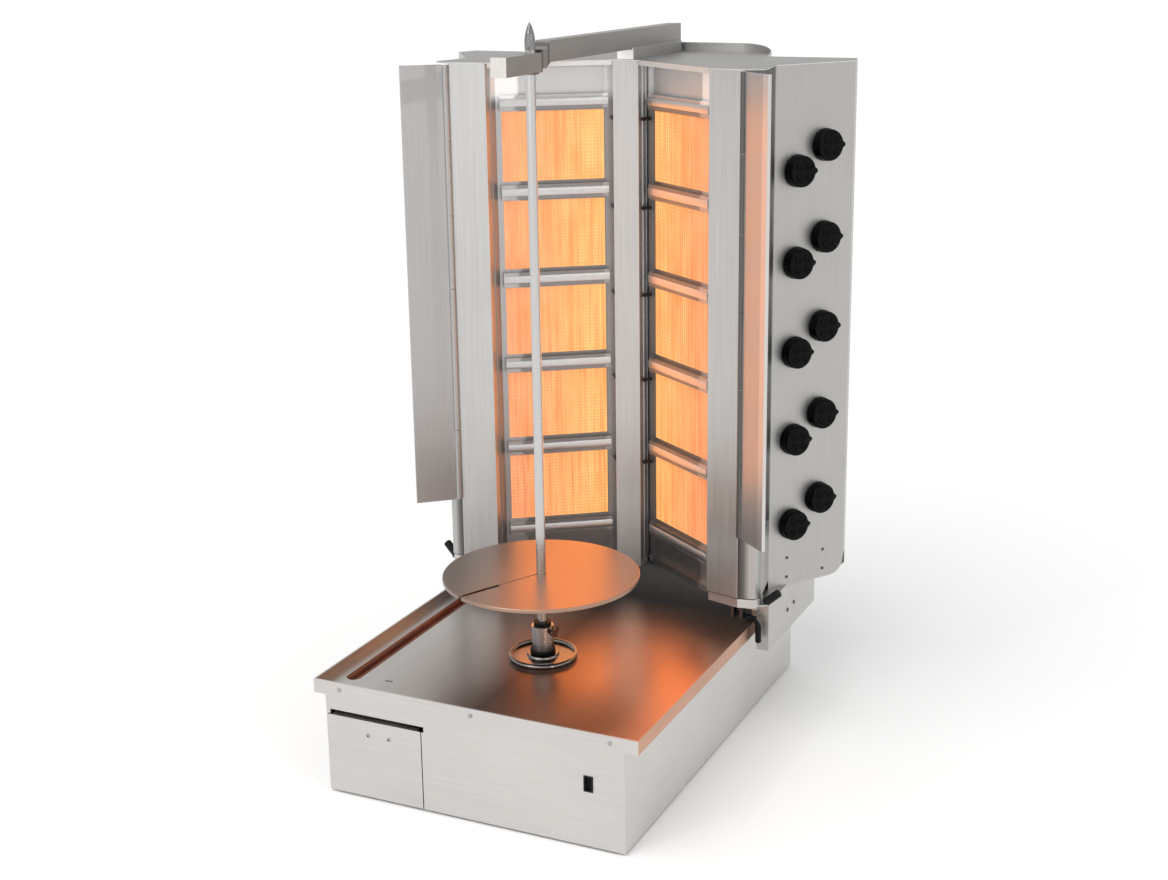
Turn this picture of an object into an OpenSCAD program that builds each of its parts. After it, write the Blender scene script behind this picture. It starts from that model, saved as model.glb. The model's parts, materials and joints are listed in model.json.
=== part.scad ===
// Vertical rotisserie broiler: a gas gyros grill with a motor driven spit, two banks of
// infrared burners set in a V behind it, and a drip tray base with a fat drawer.
// Millimetres, +Z up, front of the grill towards -Y, controls on the +X side.
// Origin: on the floor, at the middle of the whole footprint.

/* [Base] */
// Width of the base body
base_w = 500; // [480:1:520]
// Depth of the base body
base_d = 732; // [720:1:760]
// Height of the tray rim above the floor
base_h = 184; // [180:1:196]
// How far the tray stands out past each side of the body
lip_over = 20.5; // [18:0.5:22]
// Height of the tray's outer lip
lip_h = 22.5; // [20:0.5:26]
// Depth of the pan below the rim
pan_drop = 14; // [10:0.5:16]
// Sheet thickness of the housings
sheet = 1.5; // [1.2:0.1:2]

/* [Drawer] */
// Width of the drawer front
drawer_w = 167; // [150:1:170]
// Height of the drawer front
drawer_h = 127; // [110:1:130]
// Depth of the drawer box
drawer_d = 280; // [200:5:290]

/* [Spit] */
// Distance of the spit behind the front of the base
spit_back = 243; // [235:1:250]
// Diameter of the spit rod
spit_dia = 15; // [12:0.5:16]
// Height of the spit's point above the floor
spit_top = 1156; // [1150:1:1180]
// Diameter of the meat disc
disc_dia = 310; // [260:5:320]
// Height of the meat disc above the floor
disc_z = 311; // [300:1:330]

/* [Burner tower] */
// Height of the tower's top above the floor
tower_top = 1080; // [1078:1:1084]
// Vertical pitch of the burners
burner_pitch = 147; // [140:1:148]
// Height of one burner tile
tile_h = 115; // [100:1:118]
// Height of the lowest tile's lower edge
tile_z0 = 295; // [285:1:297]

/* [Controls] */
// Outer diameter of a knob's skirt
knob_dia = 52; // [44:1:56]
// How much lower the front column of knobs sits
knob_stagger = 37.5; // [34:0.5:42]

/* [Hidden] */
$fn = 48;

// Fits
run_fit = 0.05;         // radial clearance of a shaft that turns in its bore
body_gap = 0.4;         // gap between faces of pieces that move past each other
seam = 0.05;            // gap between flat sheets of one folded piece
tiny = 0.01;            // overlap that lets two cuts meet

// Overall frame
screw_head = 1;                                  // heads and switch flange stand this far out
inlet_len = 12;                                  // gas inlet stub behind the rear cover
rear_over = 71;                                  // rear cover's overhang behind the base
total_d = screw_head + base_d + rear_over + inlet_len;
front_y = -total_d / 2 + screw_head;
rear_y = total_d / 2 - inlet_len;                // rear cover's outer face
base_rear_y = front_y + base_d;
half_w = base_w / 2;
lip_x = half_w + lip_over;
lip_z = base_h - lip_h;
foot_gap = 3;                                    // skirt's height above the floor
pan_z = base_h - pan_drop;
spit_y = front_y + spit_back;
spit_r = spit_dia / 2;
rim = 3;                                         // width of the tray's folded rim
front_screws = [-225, 2, 227];
front_screw_z = (lip_z + base_h) / 2;
vent_y = [spit_y + 295, spit_y + 395];

// Trough in the pan's left side, and its drain above the drawer
trough_w = 24;
trough_x = -half_w + 4 + trough_w / 2;
trough_y0 = front_y + 45;
trough_y1 = base_rear_y - 60;
trough_drop = 14;
drain_y = trough_y0 + 30;
drain_r = 7.5;

// Drawer, with a finger slot over its front
drawer_t = 1.2;
drawer_gap = 1.5;
drawer_x0 = -half_w;
drawer_x1 = drawer_x0 + drawer_w;
drawer_top = foot_gap + drawer_h;
drawer_box_x0 = -half_w + 8;
drawer_box_x1 = drawer_x1 - 6;
drawer_box_z0 = foot_gap + 9;
drawer_box_top = drawer_top - 7;
slot_h = 9;

// Rocker switch
switch_x = 192.5;
switch_z = 102.5;
switch_w = 15;
switch_h = 25;
rocker_y = front_y + 7;
rocker_pin_r = 1.5;

// Cable gland in the back of the base
gland_x = -170;
gland_z = 60;

// Drive train
gear_teeth = 48;
pinion_teeth = 12;
gear_module = 2;
gear_z = 96;
gear_t = 12;
gear_centres = gear_module * (gear_teeth + pinion_teeth) / 2 + 0.3;
shaft_r = 10;
box_z0 = 88;
box_z1 = 116;
motor_r = 30;

// Hub on the pan
ring_r = 54;
seal_z = pan_z + 8;
socket_z0 = seal_z + 6;
socket_z1 = socket_z0 + 40;
socket_r = 17.5;
screw_z = socket_z1 - 12;

// Plan of the tower, right half (the left half is its mirror image)
post_half = 22.7;
post_y = spit_y + 338.7;
recess = 30;                                     // bank's depth behind the strips
strip_in = [193.6, spit_y + 217];
strip_out = [252.7, spit_y + 201.7];
bank_in = [post_half, post_y + recess];
bank_out = [strip_in.x, strip_in.y + recess];
bank_len = norm(bank_out - bank_in);
bank_ang = atan2(bank_out.y - bank_in.y, bank_out.x - bank_in.x);
panel_a = [272.3, spit_y + 297.7];
panel_b = [360, spit_y + 429.3];
panel_len = norm(panel_b - panel_a);
panel_ang = atan2(panel_b.y - panel_a.y, panel_b.x - panel_a.x);
box_rear_a = [350, spit_y + 474];
box_rear_b = [222, spit_y + 471];
bulge = [strip_out + [0.9, 2], strip_out + [26.3, 8], strip_out + [32.3, 22],
    panel_a + [-0.5, 3]];
skin_start = strip_out + [1.2, 13];              // front edge of the side box's upper skin
corner_r = 28;                                   // rounding of the side box's lower rear corner
tower_z0 = 216;
floor_t = 2;
tower_floor = tower_z0 + floor_t;
skin_top = tower_top - 2;
strip_z0 = 233;
wing_z0 = 339;
wing_w = 76;
wing_ang = -41.2;
hinge_at = strip_out + [4, -3];
pin_r = 3;
hinge_lugs = [90, 360, 620];                     // heights of the lugs above the wing's foot
barrels = [[4, 85], [125, 355], [395, 615], [655, 732]];
rear_half = 120;
rear_r = 75;

// Brackets that carry the tower beside the tray, and the clamp lever under its floor
bracket_x = 290;
bracket_t = 2;
bracket_y = spit_y + 245;
bracket_z0 = 131;
tab_x = 262;
clamp_y = spit_y + 229;
clamp_z = 198;
clamp_r = 3.5;
clamp_lugs = [235, 250];
lug_w = 5;

// Burners
burner_rows = 5;
tile_u0 = 28;                                    // tile's inner end along the bank
tile_u1 = 199;
tile_t = 13;
plenum_d = 42;
burner_z = [for (i = [0:burner_rows - 1]) tile_z0 + i * burner_pitch];

mixer_r = 10;
mixer_len = 14;
nozzle_len = 12;
frame_t = 2;

// Knobs: u runs along the control panel from its front edge
knob_u_front = 44.4;
knob_u_rear = 98.9;
knob_u_mid = (knob_u_front + knob_u_rear) / 2;
knob_z_top = tower_top - 129;
stem_r = 4;
hole_r = 6;
knob_h = 21;
knob_flange_h = 5;
knob_lift = 1;
panel_screw_at = [for (u = [38, 114], z = [16, 50]) [u, tower_z0 + z]];
valve_d = 50;
manifold_depth = 40;
manifold_r = 9;
pipe_r = 5;
inlet_x = 100;
inlet_z = 250;
inlet_r = 10.5;

// Arm that steadies the spit's upper end
arm_z0 = 1084;
arm_box = 28;
arm_half = 12.6;
arm_front_y = spit_y - 99;
arm_box_y1 = spit_y + 15;
bar_z0 = 1096.4;
bar_z1 = 1128;
bar_half = 12;
bar_end_y = rear_y - 11;

steel = "#c8c6c2";
dark_steel = "#7d7b78";
black = "#1c1c1c";
ember = "#f2a860";
brass = "#c9a24c";

// --- Helpers -------------------------------------------------------------------------

// Height of a knob: row 0 is the highest, column 0 the rear one
function knob_z(row, col) = knob_z_top - row * burner_pitch - col * knob_stagger;

// Point behind the control panel, u along it and depth in from its face
function panel_point(u, depth, z) = [
    panel_a.x + u * cos(panel_ang) - depth * sin(panel_ang),
    panel_a.y + u * sin(panel_ang) + depth * cos(panel_ang), z];

// Point behind the middle of a bank; side is 1 on the right bank and -1 on the left
function bank_point(side, depth, z) = [
    side * (bank_in.x + bank_len / 2 * cos(bank_ang) - depth * sin(bank_ang)),
    bank_in.y + bank_len / 2 * sin(bank_ang) + depth * cos(bank_ang), z];

// Right half of a plan outline, front to rear, closed with its mirror image
function with_mirror(pts) = concat(pts,
    [for (i = [len(pts) - 1:-1:0]) [-pts[i].x, pts[i].y]]);

// Right half of the rear cover's plan outline, with corner radius r
function rear_arc(r) = concat([[rear_half + r, box_rear_b.y]], [for (a = [0:15:90])
    [rear_half + r * cos(a), rear_y - rear_r + r * sin(a)]]);

// Both sides of a mirror pair
module both() {
    children();
    mirror([1, 0, 0]) children();
}

// Upright sheets along a chain of plan points, t thick to the left of each line
module wall_chain(pts, z0, z1, t = sheet) {
    translate([0, 0, z0]) linear_extrude(z1 - z0) for (i = [0:len(pts) - 2]) {
        a = pts[i];
        b = pts[i + 1];
        inset = [a.y - b.y, b.x - a.x] * t / norm(b - a);
        polygon([a, b, b + inset, a + inset]);
    }
}

// One such sheet
module wall(a, b, z0, z1, t = sheet) {
    wall_chain([a, b], z0, z1, t);
}

// Places children on the control panel: x along it, y up, z outwards
module on_panel(u, z) {
    translate([panel_a.x + u * cos(panel_ang), panel_a.y + u * sin(panel_ang), z])
        rotate([90, 0, panel_ang]) children();
}

// Places children in the right bank: x outwards along it, y to the rear
module in_bank() {
    translate([bank_in.x, bank_in.y, 0]) rotate(bank_ang) children();
}

// Box between two corners
module span(lo, hi) {
    translate(lo) cube(hi - lo);
}

// Round rod between two points in space
module rod_between(a, b, r) {
    d = b - a;
    translate(a) rotate([0, acos(d.z / norm(d)), atan2(d.y, d.x)]) cylinder(r = r, h = norm(d));
}

// Round bar along X from x0 to x1, at the given y and z
module cross_bar(r, x0, x1, y, z) {
    translate([x0, y, z]) rotate([0, 90, 0]) cylinder(r = r, h = x1 - x0);
}

// Straight round bar between z0 and z1
module bar(r, z0, z1) {
    translate([0, 0, z0]) cylinder(r = r, h = z1 - z0);
}

// Involute-like gear outline: root, pitch and tip points on both flanks of each tooth
module gear_outline(teeth, turn = 0) {
    pitch_r = gear_module * teeth / 2;
    tip_r = pitch_r + 0.8 * gear_module;
    root_r = pitch_r - gear_module;
    step = 360 / teeth;
    rotate(turn) polygon([for (i = [0:teeth - 1], p = [[root_r, -0.33], [pitch_r, -0.225],
        [tip_r, -0.11], [tip_r, 0.11], [pitch_r, 0.225], [root_r, 0.33]])
        p[0] * [cos((i + p[1]) * step), sin((i + p[1]) * step)]]);
}

// --- Base ----------------------------------------------------------------------------

// Two sides with a foot rail each, and a back let in between them

module base_shell() {
    rail = 14;
    back_half = half_w - sheet - seam;
    color(steel) {
        both() {
            span([half_w - sheet, front_y + sheet, foot_gap], [half_w, base_rear_y, pan_z - sheet]);
            span([half_w - rail, front_y + sheet, foot_gap],
                [half_w, base_rear_y - sheet - seam, foot_gap + sheet]);
        }
        difference() {
            span([-back_half, base_rear_y - sheet, foot_gap],
                [back_half, base_rear_y, pan_z - sheet]);
            translate([gland_x, base_rear_y, gland_z]) rotate([90, 0, 0])
                cylinder(r = 8.2, h = 4 * sheet, center = true);
        }
    }
}

module front_panel() {
    lap = 1.3;
    color(steel) difference() {
        union() {
            span([-half_w, front_y, foot_gap], [half_w, front_y + sheet, lip_z + tiny]);
            span([-lip_x, front_y, lip_z], [lip_x, front_y + sheet, base_h]);
            span([rim - lip_x, front_y, base_h - sheet], [lip_x - rim, front_y + rim, base_h]);
        }
        span([-half_w - 1, front_y - 1, 0], [drawer_x1, front_y + rim, drawer_top + drawer_gap]);
        span([-half_w + 7, front_y - 1, drawer_top],
            [drawer_x1 + 4, front_y + rim, drawer_top + slot_h]);
        span([switch_x - switch_w / 2 + lap, front_y - 1, switch_z - switch_h / 2 + lap],
            [switch_x + switch_w / 2 - lap, front_y + rim, switch_z + switch_h / 2 - lap]);
        for (x = front_screws) translate([x, front_y - 1, front_screw_z]) rotate([-90, 0, 0])
            cylinder(r = 2.2, h = 5);
    }
}

module bottom_plate() {
    slots = 5;
    slot_pitch = 24;
    slot_w = 10;
    color(dark_steel) difference() {
        span([-half_w + sheet, front_y + sheet, foot_gap + sheet],
            [half_w - sheet, base_rear_y - sheet, foot_gap + 2 * sheet]);
        for (i = [0:slots - 1]) span([i * slot_pitch, vent_y[0], 0],
            [i * slot_pitch + slot_w, vent_y[1], 20]);
    }
}

module rubber_feet() {
    color(black) for (x = [-1, 1], y = [front_y + 45, base_rear_y - 45])
        translate([x * (half_w - 45), y, 0]) cylinder(r = 14, h = foot_gap + sheet);
}

// Pan with a raised rim, a fat trough on its left and a drain over the drawer

module drip_tray() {
    trough_z = pan_z - trough_drop;
    hook_slot = [-182, front_y + 62];
    module trough(grow, z0, z1) {
        r = trough_w / 2 + grow;
        translate([trough_x, trough_y0 + trough_w / 2, 0]) bar(r, z0, z1);
        span([trough_x - r, trough_y0 + trough_w / 2, z0], [trough_x + r, trough_y1 + grow, z1]);
    }
    color("#b0aca6") difference() {
        union() {
            span([-lip_x, front_y + sheet, pan_z - sheet], [lip_x, base_rear_y, pan_z]);
            both() {
                span([lip_x - sheet, front_y + sheet, lip_z], [lip_x, base_rear_y, base_h]);
                span([lip_x - rim, front_y + sheet, base_h - sheet],
                    [lip_x, base_rear_y, base_h]);
            }
            span([-lip_x, base_rear_y - sheet, pan_z - sheet], [lip_x, base_rear_y, base_h]);
            trough(sheet, trough_z - sheet, pan_z - tiny);
            translate([trough_x, drain_y, 0]) bar(drain_r + sheet, trough_z - 14, trough_z);
        }
        trough(0, trough_z, base_h);
        translate([trough_x, drain_y, 0]) bar(drain_r, trough_z - 15, base_h);
        translate([0, spit_y, 0]) bar(24, pan_z - 5, pan_z + 5);
        span([hook_slot.x, hook_slot.y, pan_z - 5], [hook_slot.x + 13, hook_slot.y + 4, pan_z + 5]);
    }
}

module drawer_box() {
    y0 = front_y + drawer_t;
    y1 = y0 + drawer_d;
    wall_z0 = drawer_box_z0 + drawer_t + seam;
    side_y0 = y0 + drawer_t + seam;
    side_y1 = y1 - drawer_t - seam;
    color(steel) {
        span([drawer_box_x0, y0, drawer_box_z0], [drawer_box_x1, y1, drawer_box_z0 + drawer_t]);
        for (y = [y0, y1 - drawer_t])
            span([drawer_box_x0, y, wall_z0], [drawer_box_x1, y + drawer_t, drawer_box_top]);
        for (x = [drawer_box_x0, drawer_box_x1 - drawer_t])
            span([x, side_y0, wall_z0], [x + drawer_t, side_y1, drawer_box_top]);
    }
}

// Drawer front, its upper edge folded back for the fingers

module drawer_front() {
    grip = 34;
    color(steel) {
        span([drawer_x0, front_y, foot_gap], [drawer_x1 - drawer_gap, front_y + drawer_t,
            drawer_top]);
        span([drawer_x0 + 8, front_y, drawer_top - drawer_t],
            [drawer_x1 - 8, front_y + grip, drawer_top]);
    }
    color(dark_steel) for (x = [73, 109]) translate([drawer_x0 + x, front_y + tiny,
        drawer_top - 24]) rotate([90, 0, 0]) cylinder(r = 3, h = screw_head + tiny);
}

module drawer_runners() {
    z = foot_gap + 2 * sheet;
    w = 12;
    color(dark_steel) for (x = [drawer_box_x0 + 4, drawer_box_x1 - 4 - w])
        span([x, front_y + w, z], [x + w, front_y + drawer_d, drawer_box_z0 - body_gap]);
}

// Frame of the rocker switch, with the pin that the rocker tilts on

module switch_bezel() {
    lap = 1.5;
    wall_t = 1.2;
    depth = 24;
    module box(inset, y0, y1) {
        span([switch_x - switch_w / 2 + inset, y0, switch_z - switch_h / 2 + inset],
            [switch_x + switch_w / 2 - inset, y1, switch_z + switch_h / 2 - inset]);
    }
    color(black) {
        difference() {
            union() {
                box(0, front_y - screw_head, front_y);
                box(lap, front_y - tiny, front_y + depth);
            }
            box(lap + wall_t, front_y - rim, front_y + depth - 10);
        }
        cross_bar(rocker_pin_r, switch_x - switch_w / 2 + lap + tiny,
            switch_x + switch_w / 2 - lap - tiny, rocker_y, switch_z);
    }
}

module rocker() {
    half_len = 8.6;
    half_t = 4.5;
    face = 5;
    tilt = 11;
    color("#101010") difference() {
        union() {
            cross_bar(4, switch_x - half_t + 1, switch_x + half_t - 1, rocker_y, switch_z);
            translate([switch_x, rocker_y, switch_z]) rotate([-tilt, 0, 0])
                span([-half_t, -face, -half_len], [half_t, 1, half_len]);
        }
        cross_bar(rocker_pin_r + run_fit, switch_x - half_t - 1, switch_x + half_t + 1,
            rocker_y, switch_z);
    }
}

// --- Drive in the base -----------------------------------------------------------------

module gear_motor() {
    body_z0 = 14;
    color(dark_steel) translate([gear_centres, spit_y, 0]) {
        bar(motor_r, body_z0, box_z0 - 2);
        bar(14, box_z0 - 2 - tiny, box_z0);
        difference() {
            span([-motor_r - 6, -18, foot_gap + 2 * sheet], [motor_r + 6, 18, body_z0 + tiny]);
            span([-motor_r + 2, -19, 0], [motor_r - 2, 19, body_z0 - 2]);
        }
    }
}

module gearbox() {
    wall_t = 4;
    big_r = gear_module * gear_teeth / 2 + 5;
    small_r = gear_module * pinion_teeth / 2 + 5;
    module cavity(grow) {
        circle(r = big_r + grow);
        translate([gear_centres, 0]) circle(r = small_r + grow);
    }
    color(dark_steel) translate([0, spit_y, 0]) difference() {
        translate([0, 0, box_z0]) linear_extrude(box_z1 - box_z0) cavity(wall_t);
        translate([0, 0, box_z0 + wall_t]) linear_extrude(box_z1 - box_z0 - 2 * wall_t) cavity(0);
        bar(shaft_r + run_fit, box_z0 + 1, box_z1 + 1);
        translate([gear_centres, 0, 0]) bar(5.2, box_z0 - 1, box_z0 + wall_t + 1);
    }
}

module pinion() {
    color(steel) translate([gear_centres, spit_y, 0]) {
        translate([0, 0, gear_z - 1]) linear_extrude(gear_t + 2)
            gear_outline(pinion_teeth, 180 / pinion_teeth);
        bar(5, box_z0 + 0.2, gear_z - 1 + tiny);
    }
}

module drive_gear() {
    color(brass) translate([0, spit_y, gear_z]) difference() {
        linear_extrude(gear_t) gear_outline(gear_teeth);
        translate([0, 0, -1]) cylinder(r = shaft_r, h = gear_t + 2);
    }
}

module drive_shaft() {
    color(steel) translate([0, spit_y, 0]) bar(shaft_r, box_z0 + 1.4, socket_z0 + 12);
}

module bearing_housing() {
    color(dark_steel) translate([0, spit_y, 0]) difference() {
        union() {
            bar(22, box_z1, pan_z + 2);
            bar(44, pan_z - sheet - 5, pan_z - sheet);
        }
        bar(shaft_r + run_fit, box_z1 - 1, pan_z + 5);
    }
}

module shaft_seal() {
    color(black) translate([0, spit_y, 0]) difference() {
        bar(20, seal_z, socket_z0 - body_gap);
        bar(shaft_r + 0.6, seal_z - 1, socket_z0 + 1);
    }
}

// Saucer round the shaft that keeps fat out of the bearing
module splash_ring() {
    color(steel) translate([0, spit_y, 0]) rotate_extrude()
        polygon([[22.5, pan_z], [ring_r - 2, pan_z], [ring_r, pan_z + 2], [ring_r, pan_z + 9],
            [ring_r - 3, pan_z + 9], [ring_r - 4, pan_z + 3], [26, pan_z + 3],
            [24, seal_z], [11, seal_z], [11, pan_z + 2], [22.5, pan_z + 2]]);
}

module cable_gland() {
    hex_r = 12;
    color(black) translate([gland_x, base_rear_y, gland_z]) rotate([-90, 0, 0]) difference() {
        union() {
            translate([0, 0, -12]) cylinder(r = 8, h = 14);
            cylinder(r = hex_r, h = 6, $fn = 6);
            cylinder(r = 9, h = 11);
            translate([0, 0, -sheet - 5]) cylinder(r = hex_r, h = 5, $fn = 6);
        }
        translate([0, 0, -13]) cylinder(r = 4, h = 30);
    }
}

module base_screws() {
    color(dark_steel) for (x = front_screws)
        translate([x, front_y - screw_head, front_screw_z]) rotate([-90, 0, 0]) {
            cylinder(r = 3.4, h = screw_head);
            cylinder(r = 2, h = screw_head + sheet + 1);
        }
}

// --- Spit ----------------------------------------------------------------------------

module spit_socket() {
    color(steel) translate([0, spit_y, 0]) difference() {
        bar(socket_r, socket_z0, socket_z1);
        bar(shaft_r, socket_z0 - 1, socket_z0 + 12);
        bar(spit_r, socket_z0 + 12 - tiny, socket_z1 + 1);
        translate([0, 0, screw_z]) rotate([0, 90, 0]) cylinder(r = 3 + run_fit, h = 40);
    }
}

module socket_cap() {
    color(black) translate([0, spit_y, 0]) difference() {
        bar(14, socket_z1, socket_z1 + 6);
        bar(spit_r, socket_z1 - 1, socket_z1 + 7);
    }
}

// Thumb screw that locks the rod in its socket
module wing_screw() {
    color(dark_steel) translate([0, spit_y, screw_z]) {
        translate([spit_r + 0.2, 0, 0]) rotate([0, 90, 0]) cylinder(r = 3, h = 16);
        translate([socket_r + 1, 0, 0]) rotate([0, 90, 0]) cylinder(r = 5, h = 7);
        for (s = [-1, 1]) translate([socket_r + 4.5, s * 7, 5])
            rotate([s * -30, 0, 0]) rotate([0, 90, 0])
                cylinder(r = 6, h = 3, center = true);
    }
}

module spit_rod() {
    neck_z = spit_top - 42;
    color(steel) translate([0, spit_y, 0]) {
        bar(spit_r, socket_z0 + 12, neck_z + tiny);
        rotate_extrude() polygon([[0, neck_z], [spit_r, neck_z], [8, neck_z + 8],
            [8, neck_z + 16], [6.6, neck_z + 26], [3.6, neck_z + 36], [0, spit_top]]);
    }
}

module meat_disc() {
    r = disc_dia / 2;
    slot_turn = -90 - 26.7;
    color("#c9b3a2") translate([0, spit_y, 0]) difference() {
        rotate_extrude() polygon([[spit_r, disc_z - 2], [r - 2, disc_z - 2], [r - 2, disc_z - 6],
            [r, disc_z - 6], [r, disc_z - 1], [r - 1, disc_z], [spit_r, disc_z]]);
        rotate(slot_turn) {
            span([0, -1.2, disc_z - 10], [r + 1, 1.2, disc_z + 1]);
            span([r * 0.52, -4.5, disc_z - 10], [r + 1, 4.5, disc_z + 1]);
        }
    }
}

module disc_collar() {
    color(dark_steel) translate([0, spit_y, 0]) difference() {
        bar(16, disc_z - 16, disc_z - 2);
        bar(spit_r, disc_z - 17, disc_z);
    }
}

// --- Tower ---------------------------------------------------------------------------

// Floor of the tower and the brackets that hook down outside the tray
module carriage() {
    bracket_end = bracket_x + bracket_t;
    shelf_x = bracket_end + 2;
    lug_front = clamp_y - 8;
    skirt_x = 280;
    panel_at_shelf = panel_a + (panel_b - panel_a) * (shelf_x - panel_a.x) / (panel_b - panel_a).x;
    panel_end = panel_point(panel_len - corner_r, 0, 0);
    outline = concat([bank_in, bank_out, strip_out + [-4, 16], [skirt_x, lug_front],
        [shelf_x, lug_front + 9], panel_at_shelf, [panel_end.x, panel_end.y], box_rear_a,
        box_rear_b], rear_arc(rear_r));
    color(steel) {
        translate([0, 0, tower_z0]) linear_extrude(floor_t) polygon(with_mirror(outline));
        both() {
            span([bracket_x, bracket_y, bracket_z0],
                [bracket_end, base_rear_y, tower_z0 + tiny]);
            span([lip_x + 1, bracket_y, bracket_z0],
                [bracket_end, bracket_y + bracket_t, base_h + 6]);
            span([tab_x, bracket_y, base_h + 5],
                [bracket_end, bracket_y + bracket_t, tower_z0 + tiny]);
            span([clamp_lugs[0], lug_front, clamp_z + 12],
                [skirt_x, lug_front + bracket_t, tower_z0 + tiny]);
        }
        difference() {
            for (x = clamp_lugs) span([x, lug_front, clamp_z - 7],
                [x + lug_w, clamp_y + 8, tower_z0 + tiny]);
            cross_bar(clamp_r + run_fit, clamp_lugs[0] - 1, clamp_lugs[1] + lug_w + 1,
                clamp_y, clamp_z);
        }
    }
}

module skid_pads() {
    pad_len = 32;
    color(black) both() for (y = [bracket_y + 20, bracket_y + 125])
        span([lip_x - 9, y, base_h + body_gap], [lip_x + 1, y + pad_len, tower_z0]);
}

// Inclined grips used to push the tower to and fro, standing on the bracket tabs

module side_grips() {
    color(black) both() difference() {
        translate([bracket_x - 9, bracket_y - 9, tower_z0 - 4]) rotate([0, 50, 13]) {
            cylinder(r = 3, h = 10);
            translate([0, 0, 9]) cylinder(r = 7, h = 32);
        }
        span([tab_x, bracket_y - 20, 0], [bracket_x + 20, bracket_y + 20, tower_floor]);
    }
}

// Bent rod whose cam presses on the tray's rim and so locks the carriage

module clamp_lever() {
    arm_x = 272;
    bend = 8;
    hand_r = 5;
    hand_z0 = 150;
    cam_r = 7;
    cam_x = 262;
    cam_off = clamp_z - cam_r - base_h - body_gap;
    color(black) {
        cross_bar(clamp_r, clamp_lugs[0] - 3, arm_x + tiny, clamp_y, clamp_z);
        cross_bar(cam_r, cam_x, cam_x + 7, clamp_y, clamp_z - cam_off);
        translate([arm_x, clamp_y, clamp_z - bend]) rotate([90, 0, 0])
            rotate_extrude(angle = 90) translate([bend, 0]) circle(r = clamp_r);
        translate([arm_x + bend, clamp_y, 0]) {
            bar(clamp_r, hand_z0 + 2, clamp_z - bend + tiny);
            bar(hand_r, hand_z0, hand_z0 + 30);
        }
    }
}

module centre_post() {
    z0 = 207;
    color(steel) {
        span([-post_half, post_y, z0], [post_half, post_y + sheet, skin_top]);
        both() span([post_half - sheet, post_y, z0], [post_half, post_y + recess, skin_top]);
    }
}

module front_strips() {
    color(steel) both() {
        wall(strip_in, strip_out, strip_z0, skin_top);
        wall(strip_in + [sheet, 0], bank_out + [sheet, 0], strip_z0, skin_top);
        wall(strip_out, strip_out + [1, 12], strip_z0, skin_top);
    }
}

// Bank frames with a rail between the burners, flanged to the post and the strips

module burner_frames() {
    rail_d = 9;
    rail_h = 24;
    rail_in = tile_u0 - 6;
    flange = 14;
    flange_t = 1.2;
    z0 = tower_floor;
    color("#b9b2aa") both() {
        in_bank() difference() {
            union() {
                span([0.5, 0, z0], [bank_len - 1.6, frame_t, skin_top]);
                for (i = [0:burner_rows]) span([rail_in, -rail_d, tile_z0 - 29
                    + i * burner_pitch], [tile_u1 + 4, tiny, tile_z0 - 29 + rail_h
                    + i * burner_pitch]);
                span([rail_in, -rail_d, z0], [bank_len - 8, tiny, z0 + 10]);
            }
            for (z = burner_z) span([tile_u0, -1, z], [tile_u1, frame_t + 1, z + tile_h]);
        }
        span([post_half, bank_in.y - flange, z0 + 1],
            [post_half + flange_t, bank_in.y + flange_t, skin_top - 1]);
        span([strip_in.x - flange_t, bank_out.y - flange, strip_z0],
            [strip_in.x, bank_out.y + flange_t, skin_top - 1]);
    }
}

// Ceramic tiles whose shoulders rest behind the frames

module burner_tiles() {
    shoulder = 2;
    color(ember) both() in_bank() for (z = burner_z) {
        span([tile_u0 + 0.2, frame_t / 2, z + 0.2], [tile_u1 - 0.2, frame_t + 1,
            z + tile_h - 0.2]);
        span([tile_u0 - shoulder, frame_t, z - shoulder],
            [tile_u1 + shoulder, frame_t + tile_t, z + tile_h + shoulder]);
    }
}

// Sheet boxes behind the tiles, each with its mixing tube

module burner_plenums() {
    t = 1.2;
    lap = 4;
    color(dark_steel) for (side = [1, -1], i = [0:burner_rows - 1])
        mirror([side < 0 ? 1 : 0, 0, 0]) in_bank() {
        z = burner_z[i];
        difference() {
            span([tile_u0 - lap, frame_t, z - lap], [tile_u1 + lap, plenum_d, z + tile_h + lap]);
            span([tile_u0 - lap + t, 0, z - lap + t],
                [tile_u1 + lap - t, plenum_d - t, z + tile_h + lap - t]);
        }
        translate([bank_len / 2, plenum_d - tiny, knob_z(burner_rows - 1 - i, side > 0 ? 1 : 0)])
            rotate([-90, 0, 0]) cylinder(r = mixer_r, h = mixer_len + tiny);
    }
}

module electrodes() {
    color("#e8e2d8") both() in_bank() for (z = burner_z)
        translate([tile_u0 - 13, -16, z + tile_h - 14]) rotate([-90, 0, 0])
            cylinder(r = 3, h = 16);
}

// Outer skin of one side box: a bulge below the wing, the upper skin, the panel and the back

module side_skin() {
    ledge = wing_z0 - 2 - sheet;
    difference() {
        union() {
            wall(skin_start, panel_a + [0.65, 3], ledge, skin_top);
            wall_chain(bulge, strip_z0, ledge + sheet);
            translate([0, 0, ledge]) linear_extrude(sheet)
                polygon(concat([skin_start + [0.03, 0.4]], bulge));
            wall_chain([panel_a, panel_b, box_rear_a, box_rear_b], tower_floor, skin_top);
        }
        on_panel(panel_len - corner_r, tower_z0 + corner_r) difference() {
            span([0, -corner_r - 1, -60], [2 * corner_r, 0, 10]);
            translate([0, 0, -61]) cylinder(r = corner_r, h = 72);
        }
    }
}

module control_housing() {
    color(steel) difference() {
        side_skin();
        for (i = [0:burner_rows - 1], c = [0, 1]) on_panel(c == 0 ? knob_u_rear : knob_u_front,
            knob_z(i, c))
            cylinder(r = hole_r, h = 8, center = true);
        for (p = panel_screw_at) on_panel(p[0], p[1])
            cylinder(r = 1.6, h = 8, center = true);
    }
}

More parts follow.
